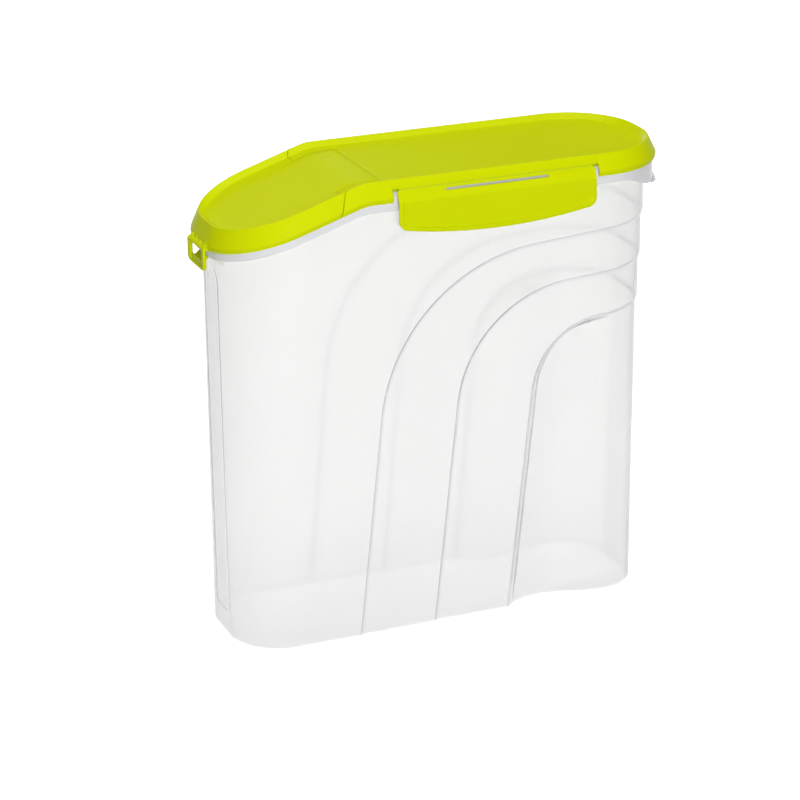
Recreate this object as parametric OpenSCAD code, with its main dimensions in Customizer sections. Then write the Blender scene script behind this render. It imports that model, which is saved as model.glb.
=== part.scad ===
// Dry-food dispenser: a tall narrow polypropylene container with a press-on lid.
// The lid is moulded flat and then folds at thin film hinges: a pouring flap over the
// nose and a clip wing on each long side. Millimetres, +Z up, nose towards -X.
// The origin is under the middle of the overall box, on the surface it stands on.

/* [Container] */
// Length of the container wall just under its rim flange
wall_len = 248.3; // [220:1:280]
// Width of the container wall just under its rim flange
wall_wid = 90; // [80:1:104]
// Height of the underside of the rim flange at the rear
flange_z = 244.9; // [225:1:265]
// Corner radius of the wall at the flange
wall_r = 40.5; // [34:0.5:42]
// Corner radius of the wall at the base
base_r = 29; // [24:0.5:32]
// Draft of the nose wall from flange to base
nose_draft = 1.6; // [0.8:0.1:3]
// Draft of the rear wall from flange to base
rear_draft = 3; // [1:0.1:5]
// Draft of each side wall from flange to base
side_draft = 4.9; // [2:0.1:6]
// Wall thickness of the container
wall_t = 1.2; // [1:0.1:1.6]
// Floor thickness of the container
floor_t = 1.6; // [1.2:0.1:3]

/* [Stepped sides] */
// Depth of each step between the arched panels
step_d = 1; // [0.6:0.1:1.2]
// Foot of the front arch, from the middle of the wall
arch_x = -56.2; // [-62:0.5:-50]
// Distance between the legs of neighbouring arches
arch_gap_x = 44.5; // [40:0.5:46]
// Height of the front arch's top line
arch_z = 215.3; // [205:0.5:218]
// Drop from one arch's top line to the next
arch_gap_z = 24.7; // [20:0.5:28]
// Bend radius of the front arch
arch_r = 95; // [85:1:100]
// Reduction of the bend radius from one arch to the next
arch_gap_r = 26.5; // [22:0.5:28]
// Depth of the finger scallop in the innermost panel
grip_d = 7.7; // [3:0.1:9]
// Height the scallop reaches above the innermost arch's top line
grip_over = 12; // [6:1:20]
// Half of the scallop's length
grip_half = 36; // [30:0.5:38]
// Middle of the scallop at the base, from the middle of the wall
grip_x = 54.8; // [50:0.5:58]

/* [Nose panel] */
// Width of the shallow upright panel in the nose
panel_w = 21; // [14:0.5:24]
// Depth of the nose panel
panel_d = 0.7; // [0.4:0.1:1]
// Height of the nose panel's lower edge
panel_low = 14; // [6:1:40]
// Distance from the nose panel's round top to the flange
panel_gap = 8; // [4:1:20]

/* [Rim] */
// Overhang of the rim flange past the side walls
flange_over = 0.9; // [0.7:0.1:1.4]
// Further overhang of the rim at the nose, the pouring lip
nose_lip = 2.7; // [1:0.1:4]
// Further overhang of the rim at the rear
rear_lip = 3.8; // [1:0.1:5]
// Height of the container's rim over the flange underside
rim_h = 9.1; // [7:0.1:10]
// Depth of the rear apron under the flange
apron_d = 8.5; // [5:0.1:12]
// Length over which the flange deepens into the apron
apron_run = 26; // [20:1:30]
// Distance from the rear wall at which the apron has its full depth
apron_end = 3; // [1:0.5:8]
// Reach of the rear pull tab past the rim
tab_reach = 4.5; // [3:0.1:8]
// Width of the rear pull tab
tab_w = 23; // [16:0.5:28]
// Thickness of the rear pull tab
tab_t = 2.6; // [2:0.1:3.4]
// Fall of the tab from its root to its tip
tab_fall = 4.1; // [3:0.1:5]
// Width of the rim's top edge
land_w = 1; // [0.8:0.1:1.5]

/* [Lid] */
// Wall thickness of the lid
lid_t = 1.1; // [0.9:0.05:1.4]
// Clearance between lid skirt and rim flange
lid_gap = 0.3; // [0.2:0.05:0.5]
// Inward roll of the skirt's lower edge
skirt_roll = 0.4; // [0.2:0.05:0.6]
// Height of the rolled band at the foot of the skirt
roll_h = 1.8; // [1.4:0.1:2.4]
// Height of the lid from skirt edge to top of ridge
lid_h = 10.6; // [10:0.1:12]
// Height of the skirt edge over the flange underside
skirt_z = 4.5; // [4:0.1:5]
// Inward lean of the skirt up to the ridge
skirt_lean = 4.15; // [3.4:0.05:4.4]
// Height of the ridge over the lid panel
ridge_h = 2.8; // [1.5:0.1:3]
// Width of the ridge from its outer edge to its foot on the panel
ridge_w = 4.05; // [3.5:0.05:5]
// Rounding at the top of the ridge
ridge_r = 0.4; // [0.2:0.05:0.6]
// Depth of the sealing rib inside the rim
seal_d = 4; // [2:0.1:5]
// Thickness of the sealing rib
seal_t = 1; // [0.8:0.1:1.4]
// Extra room for the rib at the nose, where the flap swings
seal_room = 1.6; // [1.4:0.1:2.4]
// Corner radius of the skirt at the nose
lid_nose_r = 41; // [36:0.5:43]
// Corner radius of the skirt at the rear
lid_rear_r = 43; // [38:0.5:43]
// Slope of the lid over the nose, in degrees
nose_slope = 17.8; // [12:0.1:20]
// Bend of the lid, measured from the nose wall
bend_len = 71.1; // [66:0.5:76]
// Half length of the rounded bend
bend_half = 4; // [3:0.1:10]

/* [Pouring flap] */
// Film hinge of the flap, measured from the nose wall
hinge_len = 84.8; // [82:0.5:92]
// Width of the flap's tongue at the film hinge
tongue_w = 63.5; // [50:0.5:68]
// Seam across the rim, measured from the nose wall at the ridge
seam_len = 62; // [56:0.5:64]
// Lean of the seam from ridge to skirt edge
seam_lean = 3.7; // [2:0.1:5]
// Width of the seams round the flap
seam_gap = 0.6; // [0.4:0.05:1]
// Width of the film hinges
film_w = 1; // [0.8:0.1:1.6]
// Thickness of the film hinges
film_t = 0.4; // [0.3:0.05:0.6]

/* [Nose catch] */
// Reach of the catch loop past the skirt at the nose
catch_reach = 2.1; // [1.6:0.1:4]
// Width of the catch loop
catch_w = 25.6; // [20:0.2:30]
// Width of the loop's side bars
catch_bar = 3.5; // [2.5:0.1:4.5]
// Thickness of the loop's front face
catch_t = 1.9; // [1.5:0.1:2.5]
// Depth of the loop below the flange underside at the nose
catch_drop = 7.7; // [6.5:0.1:9]
// Engagement of the catch under the pouring lip
catch_bite = 1.1; // [0.6:0.1:1.5]
// Height of the loop's lower bar
catch_low = 4.3; // [3:0.1:5]
// Half width of the hooked lip on the lower bar
catch_lip = 6; // [4:0.5:8]
// Height of the window's top over the flange underside at the nose
catch_top = 3.4; // [2:0.1:4]
// Radius of the loop's lower corners
catch_r = 3; // [1:0.5:4]
// Height of the loop's face over its window
catch_over = 0.9; // [0.6:0.1:1.5]
// Thickness of the ribs over the loop
catch_rib = 1.1; // [0.8:0.1:1.5]
// Distance between the ribs over the loop
catch_pitch = 6.4; // [5:0.1:7]

/* [Clip wings] */
// Length of each clip wing
wing_len = 113.8; // [100:0.5:120]
// Middle of the wings, from the middle of the wall
wing_x = 21.2; // [16:0.5:26]
// Notch between wing and skirt at each end
wing_notch = 2.4; // [1.6:0.1:3]
// Height of the fold line under the ridge
fold_drop = 4.6; // [4:0.1:5.2]
// Height of the wings from fold line to lowest point
wing_h = 26.6; // [23:0.1:28]
// Distance of the wings' outer face from the wall
wing_out = 5; // [4.4:0.1:6]
// Thickness of the wings
wing_t = 1.4; // [1.2:0.1:1.8]
// Radius of the bowed lower edge
wing_bow_r = 312; // [250:1:400]
// Radius of the lower corners
wing_r = 5; // [3:0.5:8]
// Border round the dished face
wing_border = 2.2; // [1.5:0.1:3]
// Depth of the dished face
dish_d = 0.6; // [0.3:0.1:0.8]
// Length of the snap hook and of the slot above it
hook_len = 59; // [40:1:80]
// Engagement of the hooks under the flange
hook_bite = 0.6; // [0.4:0.05:0.8]
// Running clearance of the hooks and the catch under the flange
hook_gap = 0.35; // [0.2:0.05:0.5]
// Height of the slot in the wing's shoulder
slot_h = 1.2; // [0.8:0.1:2]
// Height of the slot over the flange underside
slot_over = 7.1; // [6:0.1:7.5]
// Height of the wing's shoulder over the flange underside
shoulder_over = 3.2; // [2:0.1:4]
// Inset of the shoulder from the wing's outer face
shoulder_in = 0.6; // [0.4:0.1:1]

/* [Hidden] */
lime = [0.78, 0.84, 0.06];
lime_film = [0.86, 0.92, 0.3];
milky = [0.92, 0.93, 0.94, 0.6];
eps = 0.01;
far = 400;                                   // past every edge of the part
spare = 20;                                  // how far a cutter runs past what it cuts
levels = 3;                                  // stepped panels inside the plain wall

// Overhang of the skirt past the wall, and the ends of wall and skirt along X
skirt_over = flange_over + lid_gap + lid_t + skirt_roll;
nose_over = skirt_over + nose_lip;
rear_over = skirt_over + rear_lip;
flange_in = skirt_over - flange_over;        // inset of the flange from the skirt
nose_reach = nose_over + catch_reach;
rear_reach = rear_over - flange_in + tab_reach;
mid_x = (nose_reach - rear_reach) / 2;
nose_x = mid_x - wall_len / 2;
rear_x = mid_x + wall_len / 2;

// Heights at the rear, before the slope of the nose
skirt_bottom = flange_z + skirt_z;
top_z = skirt_bottom + lid_h;
panel_z = top_z - ridge_h;
rim_top = flange_z + rim_h;
wide_z = skirt_bottom + roll_h;              // widest line of the skirt
ridge_z = top_z - ridge_r;                   // shoulder of the ridge
lean = skirt_lean / (ridge_z - wide_z);      // skirt's inward lean per height

// Insets from the skirt's widest line
inner_in = lid_t * sqrt(1 + lean * lean);
seat_in = inner_in + lid_gap;
mouth_in = skirt_over + wall_t;              // inner face of the container's rim
seal_out = mouth_in + lid_gap;
seal_in = seal_out + seal_t;
foot_in = skirt_lean + ridge_w;              // foot of the ridge on the panel

bend_x = nose_x + bend_len;
hinge_x = nose_x + hinge_len;
seam_x = nose_x + seam_len;
wing_mid = mid_x + wing_x;
half_wall = wall_wid / 2;
half_skirt = half_wall + skirt_over;

function ease(t) = let (u = min(max(t, 0), 1)) u * u * (3 - 2 * u);

// Fall of every rim line over the nose
function drop(x) =
    x >= bend_x + bend_half ? 0
    : x <= bend_x - bend_half ? (bend_x - x) * tan(nose_slope)
    : tan(nose_slope) * pow(bend_x + bend_half - x, 2) / (4 * bend_half);

// Fall of the flange underside at the rear, where it becomes an apron
function apron(x) = apron_d * ease((x - rear_x + apron_end + apron_run) / apron_run);

// Upper half of a rounded outline, from nose to rear; the lower half mirrors it
function half_outline(nx, rx, w, rn, rr, stations, arc) = concat(
    [for (i = [0:arc]) let (a = 90 * i / arc) [nx + rn * (1 - cos(a)), w - rn * (1 - sin(a))]],
    [for (x = stations) [x, w]],
    [for (i = [0:arc]) let (a = 90 * i / arc) [rx - rr * (1 - sin(a)), w - rr * (1 - cos(a))]]);

bend_stations = [for (k = [-1:0.5:1]) bend_x + k * bend_half];

function lid_half(inset, shift = 0) = half_outline(
    nose_x - nose_over + inset + shift, rear_x + rear_over - inset, half_skirt - inset,
    lid_nose_r - inset, lid_rear_r - inset, bend_stations, 12);

// Wall outline at height z, set in by i
function wall_half(z, i, stations) = let (t = 1 - z / flange_z) half_outline(
    nose_x + nose_draft * t + i, rear_x - rear_draft * t - i, half_wall - side_draft * t - i,
    wall_r + (base_r - wall_r) * t - i, wall_r + (base_r - wall_r) * t - i, stations, 10);

// Closes a half outline into a ring whose height falls with the lid, the apron or neither
function ring(half, z, fall = 1, hang = 0) = let (
    up = [for (p = half) [p.x, p.y, z - fall * drop(p.x) - hang * apron(p.x)]],
    n = len(up))
    concat(up, [for (i = [n - 1:-1:0]) [up[i].x, -up[i].y, up[i].z]]);

// Solid through a stack of rings, capped with strips that run across the part
module loft(rings) {
    n = len(rings[0]);
    h = n / 2;
    k = len(rings);
    sides = [for (j = [0:k - 2], i = [0:n - 1]) let (
        a = j * n + i, b = j * n + (i + 1) % n, c = b + n, d = a + n)
        each [[a, b, c], [a, c, d]]];
    low = [for (i = [0:h - 2]) let (a = i, b = i + 1, c = n - 2 - i, d = n - 1 - i)
        each [[c, b, a], [d, c, a]]];
    o = (k - 1) * n;
    high = [for (i = [0:h - 2]) let (a = o + i, b = o + i + 1, c = o + n - 2 - i, d = o + n - 1 - i)
        each [[a, b, c], [a, c, d]]];
    polyhedron([for (r = rings) each r], concat(sides, low, high), convexity = 8);
}

// Prism over an outline in the XZ plane, from y0 to y1
module across(points, y0, y1) {
    translate([0, y1, 0])
        rotate([90, 0, 0])
            linear_extrude(y1 - y0)
                polygon(points);
}

// Prism over an outline in the YZ plane, from x0 to x1
module along(points, x0, x1) {
    translate([x0, 0, 0])
        rotate([90, 0, 90])
            linear_extrude(x1 - x0)
                polygon(points);
}

// ---- container -------------------------------------------------------------------------

arch_lean = 5.7;                             // legs lean back by this angle
arch_rise = 4;                               // top lines rise to the rear by this angle
arch_ref = 61;                               // where a top line has its stated height
grip_top = arch_z - (levels - 1) * arch_gap_z + grip_over;

// Outline of the area inside arch k, grown outwards by g
function arch_area(k, g) = let (
    r = arch_r - k * arch_gap_r + g,
    nl = [-cos(arch_lean), sin(arch_lean)],
    nt = [-sin(arch_rise), cos(arch_rise)],
    foot = [mid_x + arch_x + k * arch_gap_x, 0],
    top = [mid_x + arch_ref, arch_z - k * arch_gap_z],
    bl = nl * foot + g - r,
    bt = nt * top + g - r,
    det = nl.x * nt.y - nl.y * nt.x,
    c = [(bl * nt.y - bt * nl.y) / det, (nl.x * bt - nt.x * bl) / det],
    run = rear_x + spare - c.x,
    fall = c.y + spare,
    steps = 14)
    concat(
        [[c.x + r * nl.x - fall * tan(arch_lean), -spare]],
        [for (i = [0:steps]) let (a = 180 - arch_lean - i * (90 - arch_lean - arch_rise) / steps)
            [c.x + r * cos(a), c.y + r * sin(a)]],
        [[rear_x + spare, c.y + r * nt.y + run * tan(arch_rise)], [rear_x + spare, -spare]]);

// Depth of the finger scallop at x and height z
function grip(x, z) = let (u = (x - mid_x - grip_x - z * tan(arch_lean)) / grip_half)
    abs(u) >= 1 ? 0 : grip_d * pow(cos(90 * u), 2);

straight = wall_len - 2 * wall_r;             // straight length of each side wall
grip_stations = [for (i = [1:15]) nose_x + wall_r + i * straight / 16];

// Wall outline of the innermost level, with the scallop pressed in
function grip_half_ring(z, i) = [for (p = wall_half(z, i, grip_stations))
    [p.x, p.y - grip(p.x, z)]];

// Solid of one level, set in by i, from the floor at z0 to z1 at the rear
module level(k, i, z0, z1) {
    if (k < levels)
        loft([ring(wall_half(z0, k * step_d + i, bend_stations), z0, 0),
              ring(wall_half(z1, k * step_d + i, bend_stations), z1)]);
    else
        loft([for (j = [0:5]) let (z = z0 + j * (grip_top - z0) / 5)
              ring(grip_half_ring(z, k * step_d + i), z, 0)]);
}

// The stepped body, set in by i
module stepped(i, z0, z1) {
    for (k = [0:levels]) {
        difference() {
            level(k, i, z0, z1);
            if (k < levels)
                across(arch_area(k, i), -far, far);
        }
    }
}

// Shallow upright panel in the nose wall, as a tool grown by g
module nose_panel(g) {
    high = flange_z - drop(nose_x) - panel_gap;
    tilt = atan(nose_draft / flange_z);
    translate([nose_x + nose_draft, 0, 0])
        rotate([0, -tilt, 0])
            translate([panel_d + g - spare, 0, 0])
                rotate([90, 0, 90]) {
                    linear_extrude(spare) {
                        translate([-panel_w / 2 - g, panel_low - g])
                            square([panel_w + 2 * g, high - panel_low - panel_w / 2 + g]);
                        translate([0, high - panel_w / 2])
                            circle(panel_w / 2 + g, $fn = 48);
                    }
                }
}

// Downturned pull tab at the rear, on the apron
module rear_tab() {
    root = rear_x + flange_over + rear_lip;
    tip = root + tab_reach;
    z = flange_z - apron_d;
    tip_r = tab_t * 0.6;
    sunk = mouth_in / 2;                     // how deep the root stands in the rim
    difference() {
        union() {
            across([[root - sunk, z + tab_t], [root, z + tab_t / 2], [tip - tip_r, z - tab_fall + tip_r],
                    [tip - tip_r, z - tab_fall - tip_r], [root, z - tab_t / 2],
                    [root - sunk, z]], -tab_w / 2, tab_w / 2);
            translate([tip - tip_r, tab_w / 2, z - tab_fall])
                rotate([90, 0, 0])
                    cylinder(r = tip_r, h = tab_w, $fn = 32);
        }
        for (s = [-1, 1])
            translate([root, s * tab_w / 2, z - spare])
                rotate([0, 0, s * -24])
                    translate([0, s < 0 ? -spare : 0, 0])
                        cube([spare, spare, 2 * spare]);
    }
}

module container() {
    color(milky)
        difference() {
            union() {
                difference() {
                    stepped(0, 0, flange_z + 2);
                    nose_panel(0);
                }
                loft([ring(lid_half(flange_in), flange_z, 1, 1),
                      ring(lid_half(flange_in), wide_z + (flange_in - seat_in) / lean),
                      ring(lid_half(mouth_in - land_w), wide_z + (mouth_in - land_w - seat_in) / lean)]);
                rear_tab();
            }
            difference() {
                stepped(wall_t, floor_t, flange_z + wall_t + eps);
                nose_panel(wall_t);
            }
            loft([ring(lid_half(mouth_in), flange_z + wall_t),
                  ring(lid_half(mouth_in), rim_top + spare)]);
        }
}

// ---- lid -------------------------------------------------------------------------------

hollow_z = ridge_z - 2;                      // roof of the hollow under the ridge
roof_room = seal_room - 0.9 * lid_t;         // keeps that roof outside the rib at the nose

// The whole lid as moulded, before it is divided at the film hinges
module lid_shell() {
    loft([
        ring(lid_half(foot_in - lid_t / 3), panel_z - lid_t),
        ring(lid_half(seal_in + lid_t, roof_room), hollow_z),
        ring(lid_half(seal_in, seal_room), hollow_z),
        ring(lid_half(seal_in, seal_room), rim_top - seal_d),
        ring(lid_half(seal_out, seal_room), rim_top - seal_d),
        ring(lid_half(seal_out), wide_z + (seal_out - inner_in) / lean - ridge_r),
        ring(lid_half(inner_in), wide_z),
        ring(lid_half(skirt_roll + lid_t), skirt_bottom),
        ring(lid_half(skirt_roll), skirt_bottom),
        ring(lid_half(0), wide_z),
        ring(lid_half(skirt_lean), ridge_z),
        ring(lid_half(skirt_lean + 1.5 * ridge_r), top_z),
        ring(lid_half(skirt_lean + 3 * ridge_r), top_z - ridge_r / 3),
        ring(lid_half(foot_in), panel_z)]);
}

// Zone of the pouring flap, grown by g
module flap_zone(g) {
    deep = spare + drop(nose_x);
    slope = seam_lean / lid_h;
    reach = lid_t * 10;                      // overlap of the tongue with the nose part
    across([[-far, top_z - deep], [seam_x + g - deep * slope, top_z - deep],
            [seam_x + g + spare * slope, top_z + spare], [-far, top_z + spare]], -far, far);
    translate([seam_x - reach, -tongue_w / 2 - g, panel_z - spare])
        cube([hinge_x - film_w / 2 - seam_x + reach, tongue_w + 2 * g, 2 * spare]);
}

// Zone of the skirt that a clip wing takes the place of, on side s
module wing_zone(s) {
    y0 = half_skirt - seal_out + lid_gap;
    translate([wing_mid - wing_len / 2 - wing_notch, s > 0 ? y0 : -y0 - spare, fold_z - spare])
        cube([wing_len + 2 * wing_notch, spare, spare]);
}

module lid() {
    color(lime)
        difference() {
            lid_shell();
            flap_zone(seam_gap / 2);
            translate([hinge_x - film_w / 2 - eps, -tongue_w / 2 - seam_gap / 2, panel_z - spare])
                cube([film_w + eps, tongue_w + seam_gap, 2 * spare]);
            for (s = [-1, 1])
                wing_zone(s);
        }
}

module spout_flap() {
    color(lime)
        intersection() {
            lid_shell();
            flap_zone(-seam_gap / 2);
        }
}

module flap_hinge_film() {
    w = tongue_w - seam_gap;
    color(lime_film)
        translate([hinge_x - film_w / 2, -w / 2, panel_z - film_t])
            cube([film_w, w, film_t]);
}

// ---- catch loop at the nose --------------------------------------------------------------

module nose_catch() {
    face = nose_x - nose_over - catch_reach;
    back = face + catch_t;
    lip_x = nose_x - nose_over + flange_in;
    lip_back = lip_x + catch_bite;
    under = flange_z - drop(lip_x);
    low = under - catch_drop;
    bar_top = low + catch_low;
    window_top = under + catch_top;
    high = window_top + catch_over;
    root_x = nose_x - nose_over + skirt_roll + lid_t;
    root_z = skirt_bottom - drop(nose_x - nose_over);
    rib_x = face + catch_t / 2;
    half = catch_w / 2;
    color(lime)
        difference() {
            union() {
                // front face with its window
                difference() {
                    translate([face, 0, 0])
                        rotate([90, 0, 90])
                            linear_extrude(catch_t) {
                                translate([-half, low + catch_r])
                                    square([catch_w, window_top - low - catch_r]);
                                translate([-half + catch_r, low])
                                    square([catch_w - 2 * catch_r, 2 * catch_r]);
                                for (s = [-1, 1])
                                    translate([s * (half - catch_r), low + catch_r])
                                        circle(catch_r, $fn = 32);
                            }
                    translate([face - catch_t, -half + catch_bar, bar_top])
                        cube([3 * catch_t, catch_w - 2 * catch_bar, high - bar_top]);
                }
                // root that slopes up to the skirt
                across([[face, window_top - eps], [face, high - ridge_r], [face + ridge_r, high],
                        [root_x, high + root_x - face - ridge_r], [root_x, root_z],
                        [back, window_top - eps]], -half, half);
                // hooked lip on the lower bar
                across([[back - eps, low + catch_r], [lip_back, under - catch_t],
                        [lip_back, under - hook_gap], [lip_back - catch_bite, under - hook_gap],
                        [back - eps, bar_top]], -catch_lip, catch_lip);
                // stiffening ribs above the root
                for (k = [-1.5:1:1.5])
                    across([[rib_x, high], [rib_x, high + rib_x - face],
                            [root_x, high + 4 * catch_rib], [root_x, high]],
                           k * catch_pitch - catch_rib / 2, k * catch_pitch + catch_rib / 2);
            }
            lid_envelope();
        }
}

// Everything inside the outer surface of the lid
module lid_envelope() {
    loft([
        ring(lid_half(skirt_roll), skirt_bottom),
        ring(lid_half(0), wide_z),
        ring(lid_half(skirt_lean), ridge_z),
        ring(lid_half(skirt_lean + 1.5 * ridge_r), top_z)]);
}

// ---- clip wings ------------------------------------------------------------------------

fold_z = top_z - fold_drop;
fold_y = half_skirt - (fold_z - wide_z) * lean;
film_y = fold_y + film_w * lean;             // outer edge of the film at the wing
wing_y = half_wall + wing_out;
wing_low = fold_z - wing_h;
shoulder_z = flange_z + shoulder_over;

function wing_section() = let (soft = shoulder_in / 4, bend = 3 * shoulder_in) [
    [film_y, fold_z - film_w],
    [wing_y - shoulder_in, shoulder_z],
    [wing_y - soft, shoulder_z - bend],
    [wing_y, wing_low - film_w],
    [wing_y - wing_t, wing_low - film_w],
    [wing_y - wing_t - soft, shoulder_z - bend],
    [wing_y - wing_t - shoulder_in, shoulder_z - shoulder_in],
    [film_y - film_t * 0.75, fold_z - film_w - 3 * film_t],
    [film_y - film_t, fold_z - film_w]];

// Face outline of a wing, inset by i: straight ends, round corners and a bowed lower edge
module wing_face(i, top) {
    half = wing_len / 2 - i;
    r = wing_r - min(i, wing_r - 1);
    cr = wing_bow_r - i - r;
    cz = wing_low + wing_bow_r;
    a = asin((half - r) / cr);
    polygon(concat(
        [[half, top], [-half, top]],
        [for (k = [0:6]) let (t = 180 + k * (90 - a) / 6)
            [-half + r + r * cos(t), cz - cr * cos(a) + r * sin(t)]],
        [for (k = [1:23]) let (t = 270 - a + k * 2 * a / 24)
            [(cr + r) * cos(t), cz + (cr + r) * sin(t)]],
        [for (k = [0:6]) let (t = 270 + a + k * (90 - a) / 6)
            [half - r + r * cos(t), cz - cr * cos(a) + r * sin(t)]]));
}

// One wing on the +Y side, with its dished face, its slot and its snap hook
module clip_wing() {
    hook_y = half_wall + flange_over - hook_bite;
    hook_z = flange_z - hook_gap;
    hook_h = 7 * hook_bite;
    inner_y = wing_y - wing_t;
    dish_y = wing_y - dish_d - shoulder_in / 4;
    color(lime)
        translate([wing_mid, 0, 0]) {
            difference() {
                intersection() {
                    along(wing_section(), -wing_len / 2, wing_len / 2);
                    translate([0, far, 0])
                        rotate([90, 0, 0])
                            linear_extrude(2 * far)
                                wing_face(0, fold_z + eps);
                }
                // dished face
                translate([0, dish_y + spare, 0])
                    rotate([90, 0, 0])
                        linear_extrude(spare)
                            wing_face(wing_border, shoulder_z - shoulder_in);
                // slot above the hook
                translate([-hook_len / 2, film_y - wing_t, flange_z + slot_over])
                    cube([hook_len, spare, slot_h]);
            }
            along([[hook_y, hook_z], [hook_y, hook_z - wing_t / 2],
                   [inner_y + eps, hook_z - hook_h], [inner_y + eps, hook_z]],
                  -hook_len / 2, hook_len / 2);
        }
}

module near_clip_wing() {
    mirror([0, 1, 0])
        clip_wing();
}

module far_clip_wing() {
    clip_wing();
}

// Film between the rim and a wing, on the +Y side
module wing_film() {
    t = film_t;
    color(lime_film)
        along([[fold_y, fold_z], [fold_y - t, fold_z], [film_y - t, fold_z - film_w],
               [film_y, fold_z - film_w]],
              wing_mid - wing_len / 2 + film_w, wing_mid + wing_len / 2 - film_w);
}

module near_hinge_film() {
    mirror([0, 1, 0])
        wing_film();
}

module far_hinge_film() {
    wing_film();
}

container();
lid();
spout_flap();
nose_catch();
near_clip_wing();
far_clip_wing();
flap_hinge_film();
near_hinge_film();
far_hinge_film();
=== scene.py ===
"""Dry-food dispenser with a flip-up pouring flap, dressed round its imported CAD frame.

All sizes below are millimetres in the frame's own axes: nose towards -X, long sides along Y,
+Z up. Meshes are scaled to metres as they are made.
"""

import math

import bmesh
import bpy
import numpy as np
from mathutils import Matrix, Vector
from mathutils.geometry import delaunay_2d_cdt
from mathutils.kdtree import KDTree


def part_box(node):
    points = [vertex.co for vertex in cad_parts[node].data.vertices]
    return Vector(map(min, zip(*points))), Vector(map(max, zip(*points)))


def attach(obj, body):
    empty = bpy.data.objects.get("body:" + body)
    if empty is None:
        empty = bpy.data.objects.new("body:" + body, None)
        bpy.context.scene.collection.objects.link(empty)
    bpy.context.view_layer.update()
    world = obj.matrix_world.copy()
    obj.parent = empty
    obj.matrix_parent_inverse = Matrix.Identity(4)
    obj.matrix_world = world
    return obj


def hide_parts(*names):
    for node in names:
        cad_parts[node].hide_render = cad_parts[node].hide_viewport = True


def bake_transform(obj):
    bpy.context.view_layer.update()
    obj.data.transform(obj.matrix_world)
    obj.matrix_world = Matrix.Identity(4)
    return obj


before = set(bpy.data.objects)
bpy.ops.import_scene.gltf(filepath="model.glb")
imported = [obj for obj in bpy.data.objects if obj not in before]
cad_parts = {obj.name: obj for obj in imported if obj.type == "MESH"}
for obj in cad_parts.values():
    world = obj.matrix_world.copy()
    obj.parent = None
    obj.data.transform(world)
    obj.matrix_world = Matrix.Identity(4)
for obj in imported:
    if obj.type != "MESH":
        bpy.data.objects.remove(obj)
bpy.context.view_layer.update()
for unwanted in ("Cube", "Light", "Camera"):
    if unwanted in bpy.data.objects:
        bpy.data.objects.remove(bpy.data.objects[unwanted])

MM = 0.001


def node_box(name):
    """Lowest and highest corner of a CAD node, in millimetres."""
    low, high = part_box(name)
    return low / MM, high / MM


# ---- sizes taken from the frame ------------------------------------------------------------

_, container_high = node_box("container")
_, lid_high = node_box("lid")
flap_low, _ = node_box("spout_flap")
wing_low, wing_high = node_box("far_clip_wing")
film_low, film_high = node_box("flap_hinge_film")
wing_film_low, wing_film_high = node_box("far_hinge_film")
catch_low, catch_high = node_box("nose_catch")

TOP_Z = lid_high.z  # top of the ridge at the rear
RIM_TOP = container_high.z  # top of the container's rim at the rear
HALF_SKIRT = lid_high.y  # widest line of the lid's skirt
SKIRT_NOSE = flap_low.x
SKIRT_REAR = lid_high.x
FLANGE_IN = HALF_SKIRT - container_high.y  # inset of the rim flange from the skirt
HINGE_X = (film_low.x + film_high.x) / 2
FILM_W = film_high.x - film_low.x
PANEL_Z = film_high.z  # top of the lid panel at the rear
TONGUE_HALF = film_high.y

# ---- sizes of the container wall -----------------------------------------------------------

SKIRT_OVER = 2.7  # skirt past the long sides of the wall
NOSE_LIP = 2.7  # further overhang at the nose
REAR_LIP = 3.8  # further overhang at the rear
WALL_NOSE = SKIRT_NOSE + SKIRT_OVER + NOSE_LIP
WALL_REAR = SKIRT_REAR - SKIRT_OVER - REAR_LIP
HALF_WALL = HALF_SKIRT - SKIRT_OVER
MID_X = (WALL_NOSE + WALL_REAR) / 2
FLANGE_Z = RIM_TOP - 10.1  # underside of the flange at the rear
WALL_R = 40.5
BASE_R = 29.0
NOSE_DRAFT = 1.6
REAR_DRAFT = 3.0
SIDE_DRAFT = 4.9
WALL_T = 1.2
FLOOR_T = 1.6
EDGE_R = 1.8  # rounding between wall and floor

STEP_D = 1.0  # depth of each arched step
STEP_W = 0.75  # half width of a step's slanted face
STEP_SOFT = 0.15  # rounding of its two edges, as a share of its width
ARCH_X = MID_X - 56.2
ARCH_GAP_X = 44.5
ARCH_REF_X = MID_X + 61.0
ARCH_Z = 215.3
ARCH_GAP_Z = 24.7
ARCH_R = 95.0
ARCH_GAP_R = 26.5
ARCH_LEAN = math.radians(5.7)
ARCH_RISE = math.radians(4.0)
ARCHES = 3

GRIP_D = 7.7
GRIP_HALF = 36.0
GRIP_X = MID_X + 54.8
GRIP_EDGE = 5.5  # width of the slanted edge along the innermost leg

PANEL_HALF = 10.5  # shallow upright panel in the nose
PANEL_D = 0.3
PANEL_EDGE = 2.6  # width of its soft edge
PANEL_LOW = 14.0

APRON_D = 7.5
APRON_RUN = 26.0
APRON_X = WALL_REAR - 29.0
TAB_REACH = container_high.x - (SKIRT_REAR - FLANGE_IN)
TAB_HALF = 11.5

# ---- sizes of the lid ----------------------------------------------------------------------

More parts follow.
